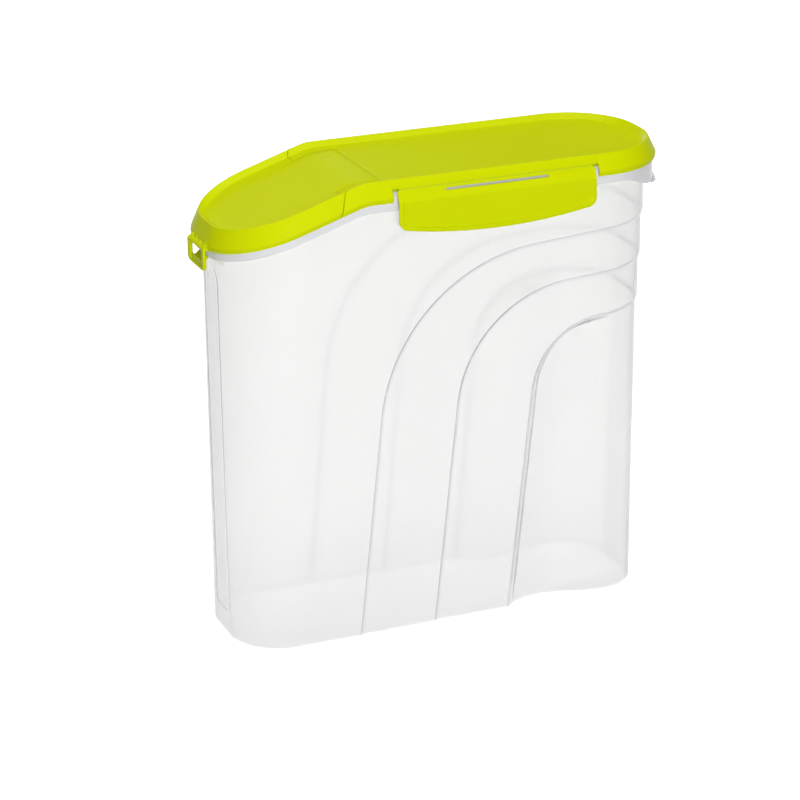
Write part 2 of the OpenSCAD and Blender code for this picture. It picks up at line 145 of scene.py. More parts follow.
BEND_X = WALL_NOSE + 71.1
BEND_HALF = 4.0
NOSE_SLOPE = math.radians(17.8)
LID_NOSE_R = 41.0
LID_REAR_R = 43.0
SKIRT_BOTTOM = FLANGE_Z + 4.6
WIDE_Z = SKIRT_BOTTOM + 2.7
RIDGE_Z = TOP_Z - 0.4
SKIRT_LEAN = 4.15
LEAN = SKIRT_LEAN / (RIDGE_Z - WIDE_Z)
LID_T = 1.1
SKIRT_ROLL = 0.7
INNER_IN = LID_T * math.hypot(1, LEAN)
SEAT_IN = INNER_IN + 0.3
MOUTH_IN = SKIRT_OVER + WALL_T
SEAL_OUT = MOUTH_IN + 0.3
SEAL_NOSE = 1.6
FOOT_IN = SKIRT_LEAN + 4.05
SEAM_X = WALL_NOSE + 62.0
SEAM_LEAN = 3.7
SEAM_GAP = 0.35
PIT_R = 0.65


def drop(x):
    """Fall of the rim lines over the nose."""
    x = np.asarray(x, float)
    straight = (BEND_X - x) * math.tan(NOSE_SLOPE)
    curved = math.tan(NOSE_SLOPE) * (BEND_X + BEND_HALF - x) ** 2 / (4 * BEND_HALF)
    return np.where(x >= BEND_X + BEND_HALF, 0, np.where(x <= BEND_X - BEND_HALF, straight, curved))


def ease(t):
    """Smooth rise from 0 to 1."""
    u = np.clip(t, 0, 1)
    return u * u * (3 - 2 * u)


def slant(t, soft=STEP_SOFT):
    """Rise from 0 to 1 with a straight middle and small rounded ends."""
    start = np.clip(t + soft, 0, 2 * soft) ** 2 / (4 * soft)
    end = np.clip(1 + soft - t, 0, 2 * soft) ** 2 / (4 * soft)
    return np.where(t < soft, start, np.where(t > 1 - soft, 1 - end, t))


def apron(x):
    """Extra depth of the rim flange round the rear."""
    return APRON_D * ease((np.asarray(x, float) - APRON_X) / APRON_RUN)


# ---- mesh helpers --------------------------------------------------------------------------


def on_outline(t, nose, rear, half, nose_r, rear_r):
    """Point and outward normal at station t of half an outline.

    0-1 is the nose's flat, 1-2 its corner, 2-3 the long side, 3-4 the rear corner, 4-5 its flat.
    """
    t = np.asarray(t, float)
    a = np.clip(t - 1, 0, 1) * math.pi / 2
    b = np.clip(t - 3, 0, 1) * math.pi / 2
    x = nose + nose_r * (1 - np.cos(a)) + rear_r * np.sin(b)
    x = x + np.clip(t - 2, 0, 1) * (rear - rear_r - nose - nose_r)
    front = np.clip(t, 0, 1) * (half - nose_r) + nose_r * np.sin(a)
    back = half - rear_r * (1 - np.cos(b)) - np.clip(t - 4, 0, 1) * (half - rear_r)
    y = np.where(t < 2, front, back)
    nx = np.where(t < 2, -np.cos(a), np.sin(b))
    ny = np.where(t < 2, np.sin(a), np.cos(b))
    return x, y, nx, ny


def rounded(points, radii, segments=5):
    """A polyline with its inner corners rounded."""
    out = [points[0]]
    for i in range(1, len(points) - 1):
        p, a, b = (Vector(points[k]) for k in (i, i - 1, i + 1))
        u, v = (a - p).normalized(), (b - p).normalized()
        half = u.angle(v) / 2
        r = min(radii[i - 1], 0.49 * min((a - p).length, (b - p).length) * math.tan(half))
        if r < 1e-3 or half > 1.56:
            out.append(tuple(p))
            continue
        centre = p + (u + v).normalized() * r / math.sin(half)
        start, end = p + u * r / math.tan(half) - centre, p + v * r / math.tan(half) - centre
        turn = start.angle_signed(end)
        for k in range(segments + 1):
            a0 = -turn * k / segments
            c, s = math.cos(a0), math.sin(a0)
            out.append((centre.x + start.x * c - start.y * s, centre.y + start.x * s + start.y * c))
    out.append(points[-1])
    return out


def triangulate(loop, lines=(), dots=()):
    """Points and triangles that fill a closed loop, following inner lines and dots.

    The last result tells which point each given one became: first the loop's, then each line's.
    """
    points = [tuple(p) for p in loop]
    edges = [(i, (i + 1) % len(loop)) for i in range(len(loop))]
    for line in lines:
        first = len(points)
        points.extend(tuple(p) for p in line)
        edges.extend((first + i, first + i + 1) for i in range(len(line) - 1))
    points.extend(tuple(p) for p in dots)
    found = delaunay_2d_cdt([Vector(p) for p in points], edges, [range(len(loop))], 1, 1e-5)
    verts = np.array([(v.x, v.y) for v in found[0]])
    return verts, [tuple(f) for f in found[2]], {o: i for i, olds in enumerate(found[3]) for o in olds}


class Shape:
    """Vertices and faces of a mesh in the making, in millimetres."""

    def __init__(self):
        self.points = []
        self.faces = []
        self.normals = {}

    def add(self, points):
        first = len(self.points)
        self.points.extend(np.asarray(points, float).reshape(-1, 3).tolist())
        return list(range(first, len(self.points)))

    def bridge(self, a, b, closed=False):
        """Quads between two index rows of equal length."""
        n = len(a)
        for i in range(n if closed else n - 1):
            j = (i + 1) % n
            self.faces.append((a[i], a[j], b[j], b[i]))

    def grow(self, row, points, turned=False):
        """Adds a row of points next to another one, with quads between them."""
        index = self.add(points)
        first, second = (index, row) if turned else (row, index)
        self.bridge(first, second)
        return index

    def close(self, rows):
        """Sides between rows that are closed outlines, and a cap at each end."""
        for a, b in zip(rows, rows[1:]):
            self.bridge(a, b, closed=True)
        self.faces.extend([tuple(reversed(rows[0])), tuple(rows[-1])])

    def mirror_y(self):
        """Adds the mirror image in Y, sharing the points on the middle plane."""
        copy = {}
        for i, (x, y, z) in enumerate(list(self.points)):
            if abs(y) < 1e-6:
                copy[i] = i
                self.points[i][1] = 0.0
            else:
                copy[i] = len(self.points)
                self.points.append([x, -y, z])
        for f in list(self.faces):
            self.faces.append(tuple(copy[i] for i in reversed(f)))
        for i, n in list(self.normals.items()):
            if copy[i] != i:
                self.normals[copy[i]] = (n[0], -n[1], n[2])

    def known_normals(self):
        """Point and normal of every vertex that has one."""
        return {i: (self.points[i], n) for i, n in self.normals.items()}

    def build(self, name, sharp=35.0):
        mesh = bpy.data.meshes.new(name)
        mesh.from_pydata((np.array(self.points) * MM).tolist(), [], self.faces)
        work = bmesh.new()
        work.from_mesh(mesh)
        bmesh.ops.recalc_face_normals(work, faces=work.faces)
        work.to_mesh(mesh)
        work.free()
        mesh.shade_smooth()
        mesh.set_sharp_from_angle(angle=math.radians(sharp))
        obj = bpy.data.objects.new(name, mesh)
        bpy.context.scene.collection.objects.link(obj)
        return obj


def settle(obj):
    """Applies an object's modifiers to its mesh."""
    bpy.context.view_layer.update()
    graph = bpy.context.evaluated_depsgraph_get()
    mesh = bpy.data.meshes.new_from_object(obj.evaluated_get(graph))
    obj.modifiers.clear()
    obj.data = mesh
    mesh.name = obj.name
    return obj


def copy_of(obj):
    """Linked copy of an object with a mesh of its own."""
    copy = bpy.data.objects.new(obj.name, obj.data.copy())
    bpy.context.scene.collection.objects.link(copy)
    return copy


CUT = 1  # material index that marks the faces made by a cutter


def combine(obj, operation, *others):
    """Boolean of obj with other objects, which are used up. Their faces are marked as cuts, except in a
    union.
    """
    for mesh in [obj.data] + [other.data for other in others]:
        while len(mesh.materials) < 2:
            mesh.materials.append(None)
    for other in others:
        if operation != "UNION":
            other.data.polygons.foreach_set("material_index", [CUT] * len(other.data.polygons))
        modifier = obj.modifiers.new(operation.lower(), "BOOLEAN")
        modifier.operation = operation
        modifier.solver = "EXACT"
        modifier.object = other
        settle(obj)
        bpy.data.objects.remove(other)
    return obj


def bevel(obj, edges_of, width, segments=2):
    """Rounds the edges of a mesh that edges_of picks."""
    work = bmesh.new()
    work.from_mesh(obj.data)
    edges = [e for e in work.edges if len(e.link_faces) == 2 and edges_of(e)]
    bmesh.ops.bevel(work, geom=edges, offset=width * MM, segments=segments, profile=0.5,
                    affect="EDGES", clamp_overlap=False)
    work.to_mesh(obj.data)
    work.free()
    return obj


def bevel_cuts(obj, width):
    """Rounds the edges round every cut face."""
    return bevel(obj, lambda e: sum(f.material_index == CUT for f in e.link_faces) == 1, width)


def bevel_sharp(obj, width, angle=35.0, segments=3):
    """Rounds every edge sharper than an angle, apart from those round a cut face."""
    return bevel(obj, lambda e: e.calc_face_angle(0) > math.radians(angle)
                 and all(f.material_index != CUT for f in e.link_faces), width, segments)


def apply_normals(obj, normals):
    """Gives an object's corners the stored normals of the points that they lie on."""
    mesh = obj.data
    tree = KDTree(len(normals))
    known = list(normals.values())
    for n, (point, _) in enumerate(known):
        tree.insert(Vector(point) * MM, n)
    tree.balance()
    found = {}
    for v in mesh.vertices:
        _, n, away = tree.find(v.co)
        if away < 2e-6:
            found[v.index] = Vector(known[n][1])
    custom = [(0.0, 0.0, 0.0)] * len(mesh.loops)
    for face in mesh.polygons:
        for k in face.loop_indices:
            n = found.get(mesh.loops[k].vertex_index)
            if n is not None and n.dot(face.normal) > 0.7:
                custom[k] = tuple(n)
    mesh.normals_split_custom_set(custom)


def prism(name, points, start, end, along="Y"):
    """Closed prism over an outline in the XZ plane, or in the YZ plane when it runs along X."""
    shape = Shape()
    rows = [shape.add([(a, place, z) if along == "Y" else (place, a, z) for a, z in points])
            for place in (start, end)]
    shape.close(rows)
    return shape.build(name)


def post(name, x, y, z0, z1, r, sides=24):
    """Upright round bar."""
    shape = Shape()
    turn = [2 * math.pi * k / sides for k in range(sides)]
    rows = [shape.add([(x + r * math.cos(a), y + r * math.sin(a), z) for a in turn])
            for z in (z0, z1)]
    shape.close(rows)
    return shape.build(name)


# ---- container -----------------------------------------------------------------------------

ROW_S = np.array([0.0, 8.0, 63.0, 230.0, 288.0, 296.0])  # running length at stations 0 to 5
ROW_POINTS = (4, 26, 60, 26, 4)  # mesh points between them
END_Z = 7.0  # spacing of the mesh points up the middle of the nose and of the rear
DOT_S, DOT_Z = 3.0, 6.0  # spacing of the mesh points inside the wall
DOT_CLEAR = 0.55  # least distance of those from a mesh line, as a share of DOT_S
BEND_CLEAR = 1.0  # distance kept from the points along the bend by those of the top edge
FOOT_CLEAR = 0.15  # distance kept from an arch's foot by the points of the lower edge
TOP_CLEAR = 2.0  # distance of the points inside the wall from its top edge


def wall_size(z):
    t = 1 - np.asarray(z, float) / FLANGE_Z
    r = WALL_R + (BASE_R - WALL_R) * t
    return (WALL_NOSE + NOSE_DRAFT * t, WALL_REAR - REAR_DRAFT * t,
            HALF_WALL - SIDE_DRAFT * t, r, r)


def station(s):
    return np.interp(s, ROW_S, np.arange(6.0))


def running_x(x, z):
    """Running length at which the wall has a given X, from the long side to the rear."""
    nose, rear, _, nose_r, rear_r = wall_size(z)
    side = (x - nose - nose_r) / (rear - rear_r - nose - nose_r)
    corner = np.arcsin(np.clip((x - rear + rear_r) / rear_r, 0, 1)) / (math.pi / 2)
    return np.interp(2 + np.clip(side, 0, 1) + corner, np.arange(6.0), ROW_S)


def running_y(y, z):
    """Running length at which the nose wall has a given Y."""
    _, _, half, nose_r, _ = wall_size(z)
    flat = half - nose_r
    corner = np.arcsin(np.clip((y - flat) / nose_r, 0, 1)) / (math.pi / 2)
    return np.interp(np.clip(y / flat, 0, 1) + corner, np.arange(6.0), ROW_S)


def arch(k):
    """Centre and radius of arch k, and the outward normals of its leg and top line."""
    r = ARCH_R - k * ARCH_GAP_R
    leg = np.array([-math.cos(ARCH_LEAN), math.sin(ARCH_LEAN)])
    top = np.array([-math.sin(ARCH_RISE), math.cos(ARCH_RISE)])
    reach = [leg @ (ARCH_X + k * ARCH_GAP_X, 0) - r, top @ (ARCH_REF_X, ARCH_Z - k * ARCH_GAP_Z) - r]
    return np.linalg.solve(np.array([leg, top]), reach), r, leg, top


def inside_arch(k, x, z):
    """Distance inside the outline of arch k, negative outside."""
    centre, r, leg, top = arch(k)
    qx, qz = x - centre[0], z - centre[1]
    along_leg = qx * leg[0] + qz * leg[1]
    along_top = qx * top[0] + qz * top[1]
    on_leg = qx * leg[1] - qz * leg[0] < 0
    on_top = qx * top[1] - qz * top[0] > 0
    away = np.hypot(qx, qz)
    return r - np.where(on_leg, along_leg, np.where(on_top, along_top, away))


def arch_line(k, inner, low):
    """Line at a distance inside arch k, from its foot to the middle of the rear, as running points."""
    centre, r, _, _ = arch(k)
    r -= inner
    start, end = math.pi - ARCH_LEAN, math.pi / 2 + ARCH_RISE
    turn = np.linspace(start, end, 26)
    x = centre[0] + r * np.cos(turn)
    z = centre[1] + r * np.sin(turn)
    down = np.linspace(low, z[0], 14)[:-1]
    x = np.concatenate([x[0] - (z[0] - down) * math.tan(ARCH_LEAN), x])
    z = np.concatenate([down, z])
    far = np.linspace(x[-1], WALL_REAR - 0.2, 60)[1:]
    z_far = z[-1] + (far - x[-1]) * math.tan(ARCH_RISE)
    x, z = np.concatenate([x, far]), np.concatenate([z, z_far])
    s = running_x(x, z)
    keep = s < ROW_S[4] - 0.5
    last = z[keep][-1]
    return list(zip(s[keep], z[keep])) + [(ROW_S[4], last), (ROW_S[5], last)]


def grip(x, z):
    """Depth of the finger scallop."""
    u = np.clip((x - GRIP_X - z * math.tan(ARCH_LEAN)) / GRIP_HALF, -1, 1)
    return GRIP_D * np.cos(math.pi / 2 * u) ** 2 * ease(inside_arch(ARCHES - 1, x, z) / GRIP_EDGE)


PANEL_TOP = FLANGE_Z - float(drop(WALL_NOSE)) - 7
PANEL_R = 3.5  # lower corners of the nose panel


def inside_panel(y, z):
    """Distance inside the outline of the nose panel."""
    r = np.where(z > (PANEL_LOW + PANEL_TOP) / 2, PANEL_HALF, PANEL_R)
    mid = (PANEL_LOW + PANEL_TOP) / 2
    tall = (PANEL_TOP - PANEL_LOW) / 2
    dy = np.maximum(np.abs(y) - PANEL_HALF + r, 0)
    dz = np.maximum(np.abs(z - mid) - tall + r, 0)
    return r - np.hypot(dy, dz)


def panel_line(inner):
    """Line at a distance inside the nose panel's outline, as running points."""
    half = PANEL_HALF - inner
    top, low = PANEL_TOP - PANEL_HALF, PANEL_LOW + PANEL_R
    r = PANEL_R - inner
    y = [half * math.sin(a) for a in np.linspace(0, math.pi / 2, 9)]
    z = [top + half * math.cos(a) for a in np.linspace(0, math.pi / 2, 9)]
    z += list(np.linspace(top, low, 30)[1:])
    y += [half] * 29
    for a in np.linspace(0, math.pi / 2, 6)[1:]:
        y.append(half - r + r * math.cos(a))
        z.append(low - r * math.sin(a))
    y.append(0)
    z.append(z[-1])
    return list(zip(running_y(np.array(y), np.array(z)), z))


def wall_point(s, z, depth):
    """Point of the container wall, set in by depth."""
    x, y, nx, ny = on_outline(station(s), *wall_size(z))
    pressed = depth + sum(STEP_D * slant((inside_arch(k, x, z) + STEP_W) / (2 * STEP_W))
                          for k in range(ARCHES))
    pressed = pressed + PANEL_D * ease(inside_panel(y, z) / PANEL_EDGE) * (x < 0)
    return np.stack([x - nx * pressed, y - ny * pressed - grip(x, z) * (ny > 0), z + 0 * x], -1)


def wall_normal(s, z, depth, side):
    """Normal of the wall, by small steps along and up it."""
    d = 0.05
    ahead, behind = np.minimum(s + d, ROW_S[5]), np.maximum(s - d, 0)
    along = wall_point(ahead, z, depth) - wall_point(behind, z, depth)
    up = wall_point(s, z + d, depth) - wall_point(s, z - d, depth)
    n = np.cross(up, along)
    return side * n / np.linalg.norm(n, axis=-1, keepdims=True)


def rim_ring(t, inset, z, hang=0.0, shift=0.0):
    """Half ring of the rim: the skirt's outline set in, following the slope of the nose."""
    x, y, _, _ = on_outline(t, SKIRT_NOSE + inset + shift, SKIRT_REAR - inset, HALF_SKIRT - inset,
                            LID_NOSE_R - inset, LID_REAR_R - inset)
    return np.stack([x, y, z - drop(x) - hang * apron(x)], -1)


STEP_LINES = [side * STEP_W * reach for side in (-1, 1) for reach in (
    1.9, 1 + 2 * STEP_SOFT, 1, 1 - 2 * STEP_SOFT)]  # mesh lines that follow a step


def wall_dots(loop_lines, low, high):
    """Dots on a grid over the wall that keep clear of the given lines."""
    s = np.arange(DOT_S, ROW_S[5] - DOT_S / 2, DOT_S)
    z = np.arange(low + DOT_Z, high, DOT_Z)
    grid = np.array([(a, b) for a in s for b in z])
    near = np.concatenate([np.array(line) for line in loop_lines])
    keep = []
    for p in grid:
        gap = np.abs(near - p)
        keep.append(np.min(np.hypot(gap[:, 0], gap[:, 1])) > DOT_CLEAR * DOT_S)
    return grid[np.array(keep)]


def build_container():
    shape = Shape()
    low = EDGE_R
    s_row = np.concatenate([np.linspace(*span) for span in zip(ROW_S[:-1], ROW_S[1:], ROW_POINTS)])
    bend_s = running_x(np.linspace(BEND_X - BEND_HALF, BEND_X + BEND_HALF, 9), FLANGE_Z)
    off_bend = (s_row < bend_s[0] - BEND_CLEAR) | (s_row > bend_s[-1] + BEND_CLEAR)
    s_row = np.unique(np.concatenate([s_row[off_bend], bend_s]))
    feet = [arch_line(k, inner, low)[0][0] for k in range(ARCHES) for inner in STEP_LINES]
    bottom_s = np.unique(np.concatenate([s_row, feet]))
    gaps = np.concatenate([[math.inf], np.diff(bottom_s)])
    bottom_s = bottom_s[(gaps > FOOT_CLEAR) | np.isin(bottom_s, feet)]

    top_z = np.full(len(s_row), FLANGE_Z)
    for _ in range(4):
        x, _, _, _ = on_outline(station(s_row), *wall_size(top_z))
        top_z = FLANGE_Z - drop(x) - apron(x)

    lines = [arch_line(k, inner, low) for k in range(ARCHES) for inner in STEP_LINES]
    lines += [arch_line(ARCHES - 1, inner, low) for inner in (3.0, GRIP_EDGE)]
    lines += [panel_line(inner * PANEL_EDGE) for inner in (-0.2, 0, 0.25, 0.5, 0.75, 1)]
    rear_z = np.unique(np.concatenate([np.arange(low, top_z[-1], END_Z)[1:-1],
                                       [line[-1][1] for line in lines[:-6]]]))
    nose_z = np.unique(np.concatenate([np.arange(low, top_z[0], END_Z)[1:-1],
                                       [line[i][1] for line in lines[-6:] for i in (0, -1)]]))
    loop = [(s, low) for s in bottom_s]
    loop += [(ROW_S[5], z) for z in rear_z]
    loop += list(zip(s_row[::-1], top_z[::-1]))
    loop += [(0.0, z) for z in nose_z[::-1]]
    dots = wall_dots([loop] + lines, low, float(top_z.max()))
    ceiling = np.interp(dots[:, 0], s_row, top_z)
    dots = dots[dots[:, 1] < ceiling - TOP_CLEAR]
    flat, triangles, became = triangulate(loop, lines, dots)
    s, z = flat[:, 0], flat[:, 1]
    bottom = [became[i] for i in range(len(bottom_s))]
    top_first = len(bottom_s) + len(rear_z)
    top = [became[i] for i in range(top_first, top_first + len(s_row))][::-1]

    rows = {}
    for side, depth in ((1, 0.0), (-1, WALL_T)):
        index = shape.add(wall_point(s, z, depth))
        shape.faces.extend(tuple(index[i] for i in (f if side > 0 else f[::-1])) for f in triangles)
        for i, n in zip(index, wall_normal(s, z, depth, side)):
            shape.normals[i] = tuple(n)
        rows[side] = ([index[i] for i in bottom], [index[i] for i in top])
    # floor: the outside rounds under, the inside meets it with a small fillet
    row = rows[1][0]
    for a in (math.pi / 2 * k / 5 for k in range(1, 6)):
        height = np.full(len(bottom_s), EDGE_R * (1 - math.sin(a)))
        row = shape.grow(row, wall_point(bottom_s, height, EDGE_R * (1 - math.cos(a))))
    shape.faces.append(tuple(row))
    row = rows[-1][0]
    for inset, height in ((0.1, FLOOR_T + 0.06), (0.35, FLOOR_T)):
        points = wall_point(bottom_s, np.full(len(bottom_s), height), WALL_T + inset)
        row = shape.grow(row, points, turned=True)
    shape.faces.append(tuple(reversed(row)))

    # rim: flange underside, outside, chamfer, top land, mouth and the ledge inside it
    t = station(s_row)
    section = rounded([(FLANGE_IN + 0.9, FLANGE_Z), (FLANGE_IN, FLANGE_Z),
                       (FLANGE_IN, WIDE_Z + (FLANGE_IN - SEAT_IN) / LEAN), (MOUTH_IN - 1, RIM_TOP),
                       (MOUTH_IN, RIM_TOP), (MOUTH_IN, FLANGE_Z + WALL_T),
                       (MOUTH_IN + 0.5, FLANGE_Z + WALL_T)], [0.4, 0.3, 0.35, 0.35, 0.3])
    row = rows[1][1]
    for inset, height in section[1:-1]:
        hang = 1.0 if height < FLANGE_Z + 0.5 else 0.0
        row = shape.grow(row, rim_ring(t, inset, height, hang))
    x, y, nx, ny = on_outline(t, *wall_size(FLANGE_Z))
    ledge = np.stack([x - nx * WALL_T, y - ny * WALL_T, FLANGE_Z + WALL_T - drop(x)], -1)
    shape.bridge(shape.grow(row, ledge), rows[-1][1])
    shape.mirror_y()
    body = shape.build("container_body", sharp=40)
    return body, shape.known_normals()


# ---- rear tab ------------------------------------------------------------------------------


def rear_tab():
    """Downturned pull tab on the rear apron, curled at its tip."""
    root = SKIRT_REAR - FLANGE_IN
    z = FLANGE_Z - APRON_D
    top = [(-2.6, 1.5), (0.0, 1.4), (1.6, 0.2), (3.1, -1.9), (TAB_REACH - 0.4, -3.9), (TAB_REACH, -5.2),
           (TAB_REACH - 0.7, -6.5), (TAB_REACH - 2.3, -7.0), (1.0, -6.7)]
    under = [(0.8, -5.6), (TAB_REACH - 2.2, -5.7), (TAB_REACH - 1.9, -4.6), (0.8, -1.0), (-2.6, -0.6)]
    outline = rounded([(root + a, z + b) for a, b in top + under], [0.9] * 12, segments=4)
    tab = prism("rear_tab", outline, -TAB_HALF, TAB_HALF)
    return bevel_sharp(tab, 0.5, angle=60)


STEP_EDGE_SHADE = ([-1.9, -1.3, -1, -0.7, 0, 0.7, 1, 1.3, 1.9],  # distance inside an arch over STEP_W
             [0, 0.5, 1, 0.35, 0, 0.1, 0.5, 0.15, 0])  # strength of the painted shade there


def above_wall(x, z):
    """True on the rim and its flange, false on the wall below."""
    return z > FLANGE_Z - drop(x) - apron(x) + 0.05


def add_step_edge_shade(obj):
    """Stores at each point of the container how strong the painted shade along the edges of its steps is.
    """
    xyz = np.empty(len(obj.data.vertices) * 3)
    obj.data.vertices.foreach_get("co", xyz)
    x, _, z = (xyz / MM).reshape(-1, 3).T
    tone = np.zeros(len(x))
    for k in range(ARCHES):
        # painted shade: darker grey lines along both edges of each arched step
        tone = np.maximum(tone, np.interp(inside_arch(k, x, z) / STEP_W, *STEP_EDGE_SHADE))
    tone *= z > FLOOR_T
    tone[above_wall(x, z)] = 0
    obj.data.attributes.new("tone", "FLOAT", "POINT").data.foreach_set("value", tone)


body, body_normals = build_container()
combine(body, "UNION", rear_tab())
apply_normals(body, body_normals)
add_step_edge_shade(body)


# ---- lid -----------------------------------------------------------------------------------

SEAL_IN = SEAL_OUT + 1.0
SEAL_D = 4.0  # depth of the sealing rib inside the rim
HOLLOW_Z = RIDGE_Z - 2.0  # roof of the hollow under the ridge
ROOF_SHIFT = SEAL_NOSE - 0.9 * LID_T
CREST_IN = SKIRT_LEAN + (TOP_Z - RIDGE_Z) * LEAN  # outer edge of the ridge's flat top
CREST_W = 0.85
SIDE_RUN = SKIRT_REAR - LID_REAR_R - SKIRT_NOSE - LID_NOSE_R
BEND_STOPS = np.linspace(BEND_X - BEND_HALF, BEND_X + BEND_HALF, 11)  # X of mesh points on the bend
BEND_ROW = 2 + (BEND_STOPS - SKIRT_NOSE - LID_NOSE_R) / SIDE_RUN  # their stations on the outline
LID_ROW = np.concatenate([np.linspace(k, k + 1, n) for k, n in enumerate((5, 33, 97, 33, 5))])
LID_ROW = LID_ROW[(LID_ROW < BEND_ROW[0] - 0.004) | (LID_ROW > BEND_ROW[-1] + 0.004)]
LID_ROW = np.unique(np.concatenate([LID_ROW, BEND_ROW]))
PANEL_DOT = 4.0  # spacing of the panel's mesh points across it
PANEL_COLUMN = 6.0  # spacing of their columns along it
BEND_COLUMN = 1.5  # the same along the bend


def lid_section():
    """Points of the rim section from the panel's top to its underside: inset, height, nose shift."""
    outside = rounded([(FOOT_IN + 1.5, PANEL_Z), (FOOT_IN, PANEL_Z), (CREST_IN + CREST_W, TOP_Z),
                       (CREST_IN, TOP_Z), (0, WIDE_Z), (SKIRT_ROLL, SKIRT_BOTTOM),
                       (SKIRT_ROLL + LID_T, SKIRT_BOTTOM), (INNER_IN, WIDE_Z),
                       (SEAL_OUT, WIDE_Z + (SEAL_OUT - INNER_IN) / LEAN - 0.4)],
                      [0.9, 0.45, 0.5, 1.2, 0.35, 0.35, 1.0])
    rib_low = RIM_TOP - SEAL_D
    rib = rounded([outside[-1], (SEAL_OUT, rib_low), (SEAL_IN, rib_low), (SEAL_IN, HOLLOW_Z)],
                  [0.3, 0.3])
    section = [(i, z, 0.0) for i, z in outside] + [(i, z, SEAL_NOSE) for i, z in rib[1:]]
    return section + [(SEAL_IN + LID_T, HOLLOW_Z, ROOF_SHIFT),
                      (FOOT_IN - LID_T / 3, PANEL_Z - LID_T, 0.0)]


def fill_panel(shape, ring, z, up):
    """Fills half a ring with the lid's panel at height z, which bends down over the nose."""
    half = [shape.points[i][:2] for i in ring]
    middle = [(x, 0.0) for x in np.linspace(half[-1][0], half[0][0], 70)[1:-1]]
    bend = np.arange(BEND_X - BEND_HALF - 1, BEND_X + BEND_HALF + 2, BEND_COLUMN)
    columns = np.concatenate([np.arange(SKIRT_NOSE + 12, bend[0] - 2, PANEL_COLUMN), bend,
                              np.arange(bend[-1] + 5, SKIRT_REAR - 10, PANEL_COLUMN)])
    dots = []
    for x in columns:
        edge = np.interp(x, [p[0] for p in half], [p[1] for p in half])
        dots.extend((x, y) for y in np.arange(PANEL_DOT, edge - PANEL_DOT / 2, PANEL_DOT))
    flat, triangles, became = triangulate(half + middle, dots=dots)
    index = [None] * len(flat)
    for n, i in enumerate(ring):
        index[became[n]] = i
    inner = [i for i in range(len(flat)) if index[i] is None]
    x, y = flat[inner, 0], flat[inner, 1]
    y[y < 1e-6] = 0.0
    new = shape.add(np.stack([x, y, z - drop(x)], -1))
    for n, i in zip(inner, new):
        index[n] = i
    shape.faces.extend(tuple(index[i] for i in (f if up else f[::-1])) for f in triangles)
    for i in index:
        px = shape.points[i][0]
        slope = float(drop(px - 0.01) - drop(px + 0.01)) / 0.02
        n = Vector((-slope, 0, 1)).normalized() * (1 if up else -1)
        shape.normals[i] = tuple(n)


def build_lid_shell():
    """The lid as moulded, before it is divided at the film hinges."""
    shape = Shape()
    rows = [shape.add(rim_ring(LID_ROW, i, z, shift=s)) for i, z, s in lid_section()]
    for a, b in zip(rows, rows[1:]):
        shape.bridge(b, a)
    fill_panel(shape, rows[0], PANEL_Z, up=True)
    fill_panel(shape, rows[-1], PANEL_Z - LID_T, up=False)
    shape.mirror_y()
    return shape.build("lid_cover", sharp=45), shape.known_normals()


FAR = 400.0
TONGUE_MID = TONGUE_HALF + 0.3  # middle of the slits beside the tongue
FOLD_Z = wing_film_high.z
WING_NOTCH = 2.4  # room in the skirt at each end of a wing
TONGUE_ROOT = 12.0  # how far the tongue's tool runs under the rest of the flap
TOOL_DEEP = 80.0  # reach of that tool above and below the lid
PIT_REACH = 5.0  # reach of a cutter through the panel


def flap_zone(grow):
    """Tool with the shape of the pouring flap's zone."""
    slope = SEAM_LEAN / (TOP_Z - SKIRT_BOTTOM)
    low, high = TOP_Z - TOOL_DEEP, TOP_Z + TOOL_DEEP
    x = SEAM_X + grow
    zone = prism("zone", [(-FAR, low), (x - TOOL_DEEP * slope, low), (x + TOOL_DEEP * slope, high),
                          (-FAR, high)], -FAR, FAR)
    start, end = SEAM_X - TONGUE_ROOT, HINGE_X - FILM_W / 2
    half = TONGUE_MID + grow
    tongue = prism("tongue", [(start, low), (end, low), (end, high), (start, high)], -half, half)
    return combine(zone, "UNION", tongue)


def wing_zone(side):
    """Tool for the part of the skirt that a clip wing takes the place of."""
    middle = (wing_low.x + wing_high.x) / 2
    half = (wing_high.x - wing_low.x) / 2 + WING_NOTCH
    inner = HALF_SKIRT - SEAL_OUT + 0.3
    low, high = FOLD_Z - 30, FOLD_Z
    span = (inner, FAR) if side > 0 else (-FAR, -inner)
    return prism("wing_zone", [(middle - half, low), (middle + half, low), (middle + half, high),
                               (middle - half, high)], *span)


def build_lid():
    """The lid without its flap and wings, and the pouring flap."""
    lid, normals = build_lid_shell()
    flap = bpy.data.objects.new("pouring_flap", lid.data.copy())
    bpy.context.scene.collection.objects.link(flap)
    pits = [post("pit", HINGE_X, side * TONGUE_MID, PANEL_Z - PIT_REACH, PANEL_Z + PIT_REACH, PIT_R)
            for side in (-1, 1)]
    gap = [(HINGE_X + a * FILM_W / 2, PANEL_Z + b * PIT_REACH)
           for a, b in ((-1.01, -1), (1, -1), (1, 1), (-1.01, 1))]
    film_gap = prism("film_gap", gap, -TONGUE_MID - SEAM_GAP / 2, TONGUE_MID + SEAM_GAP / 2)
    combine(flap, "INTERSECT", flap_zone(-SEAM_GAP / 2))
    combine(lid, "DIFFERENCE", flap_zone(SEAM_GAP / 2), film_gap, wing_zone(-1), wing_zone(1))
    for piece in (flap, lid):
        for pit in pits:
            combine(piece, "DIFFERENCE", copy_of(pit))
        bevel_cuts(piece, 0.2)
        apply_normals(piece, normals)
    for pit in pits:
        bpy.data.objects.remove(pit)
    return lid, flap


lid, flap = build_lid()


# ---- clip wings ----------------------------------------------------------------------------

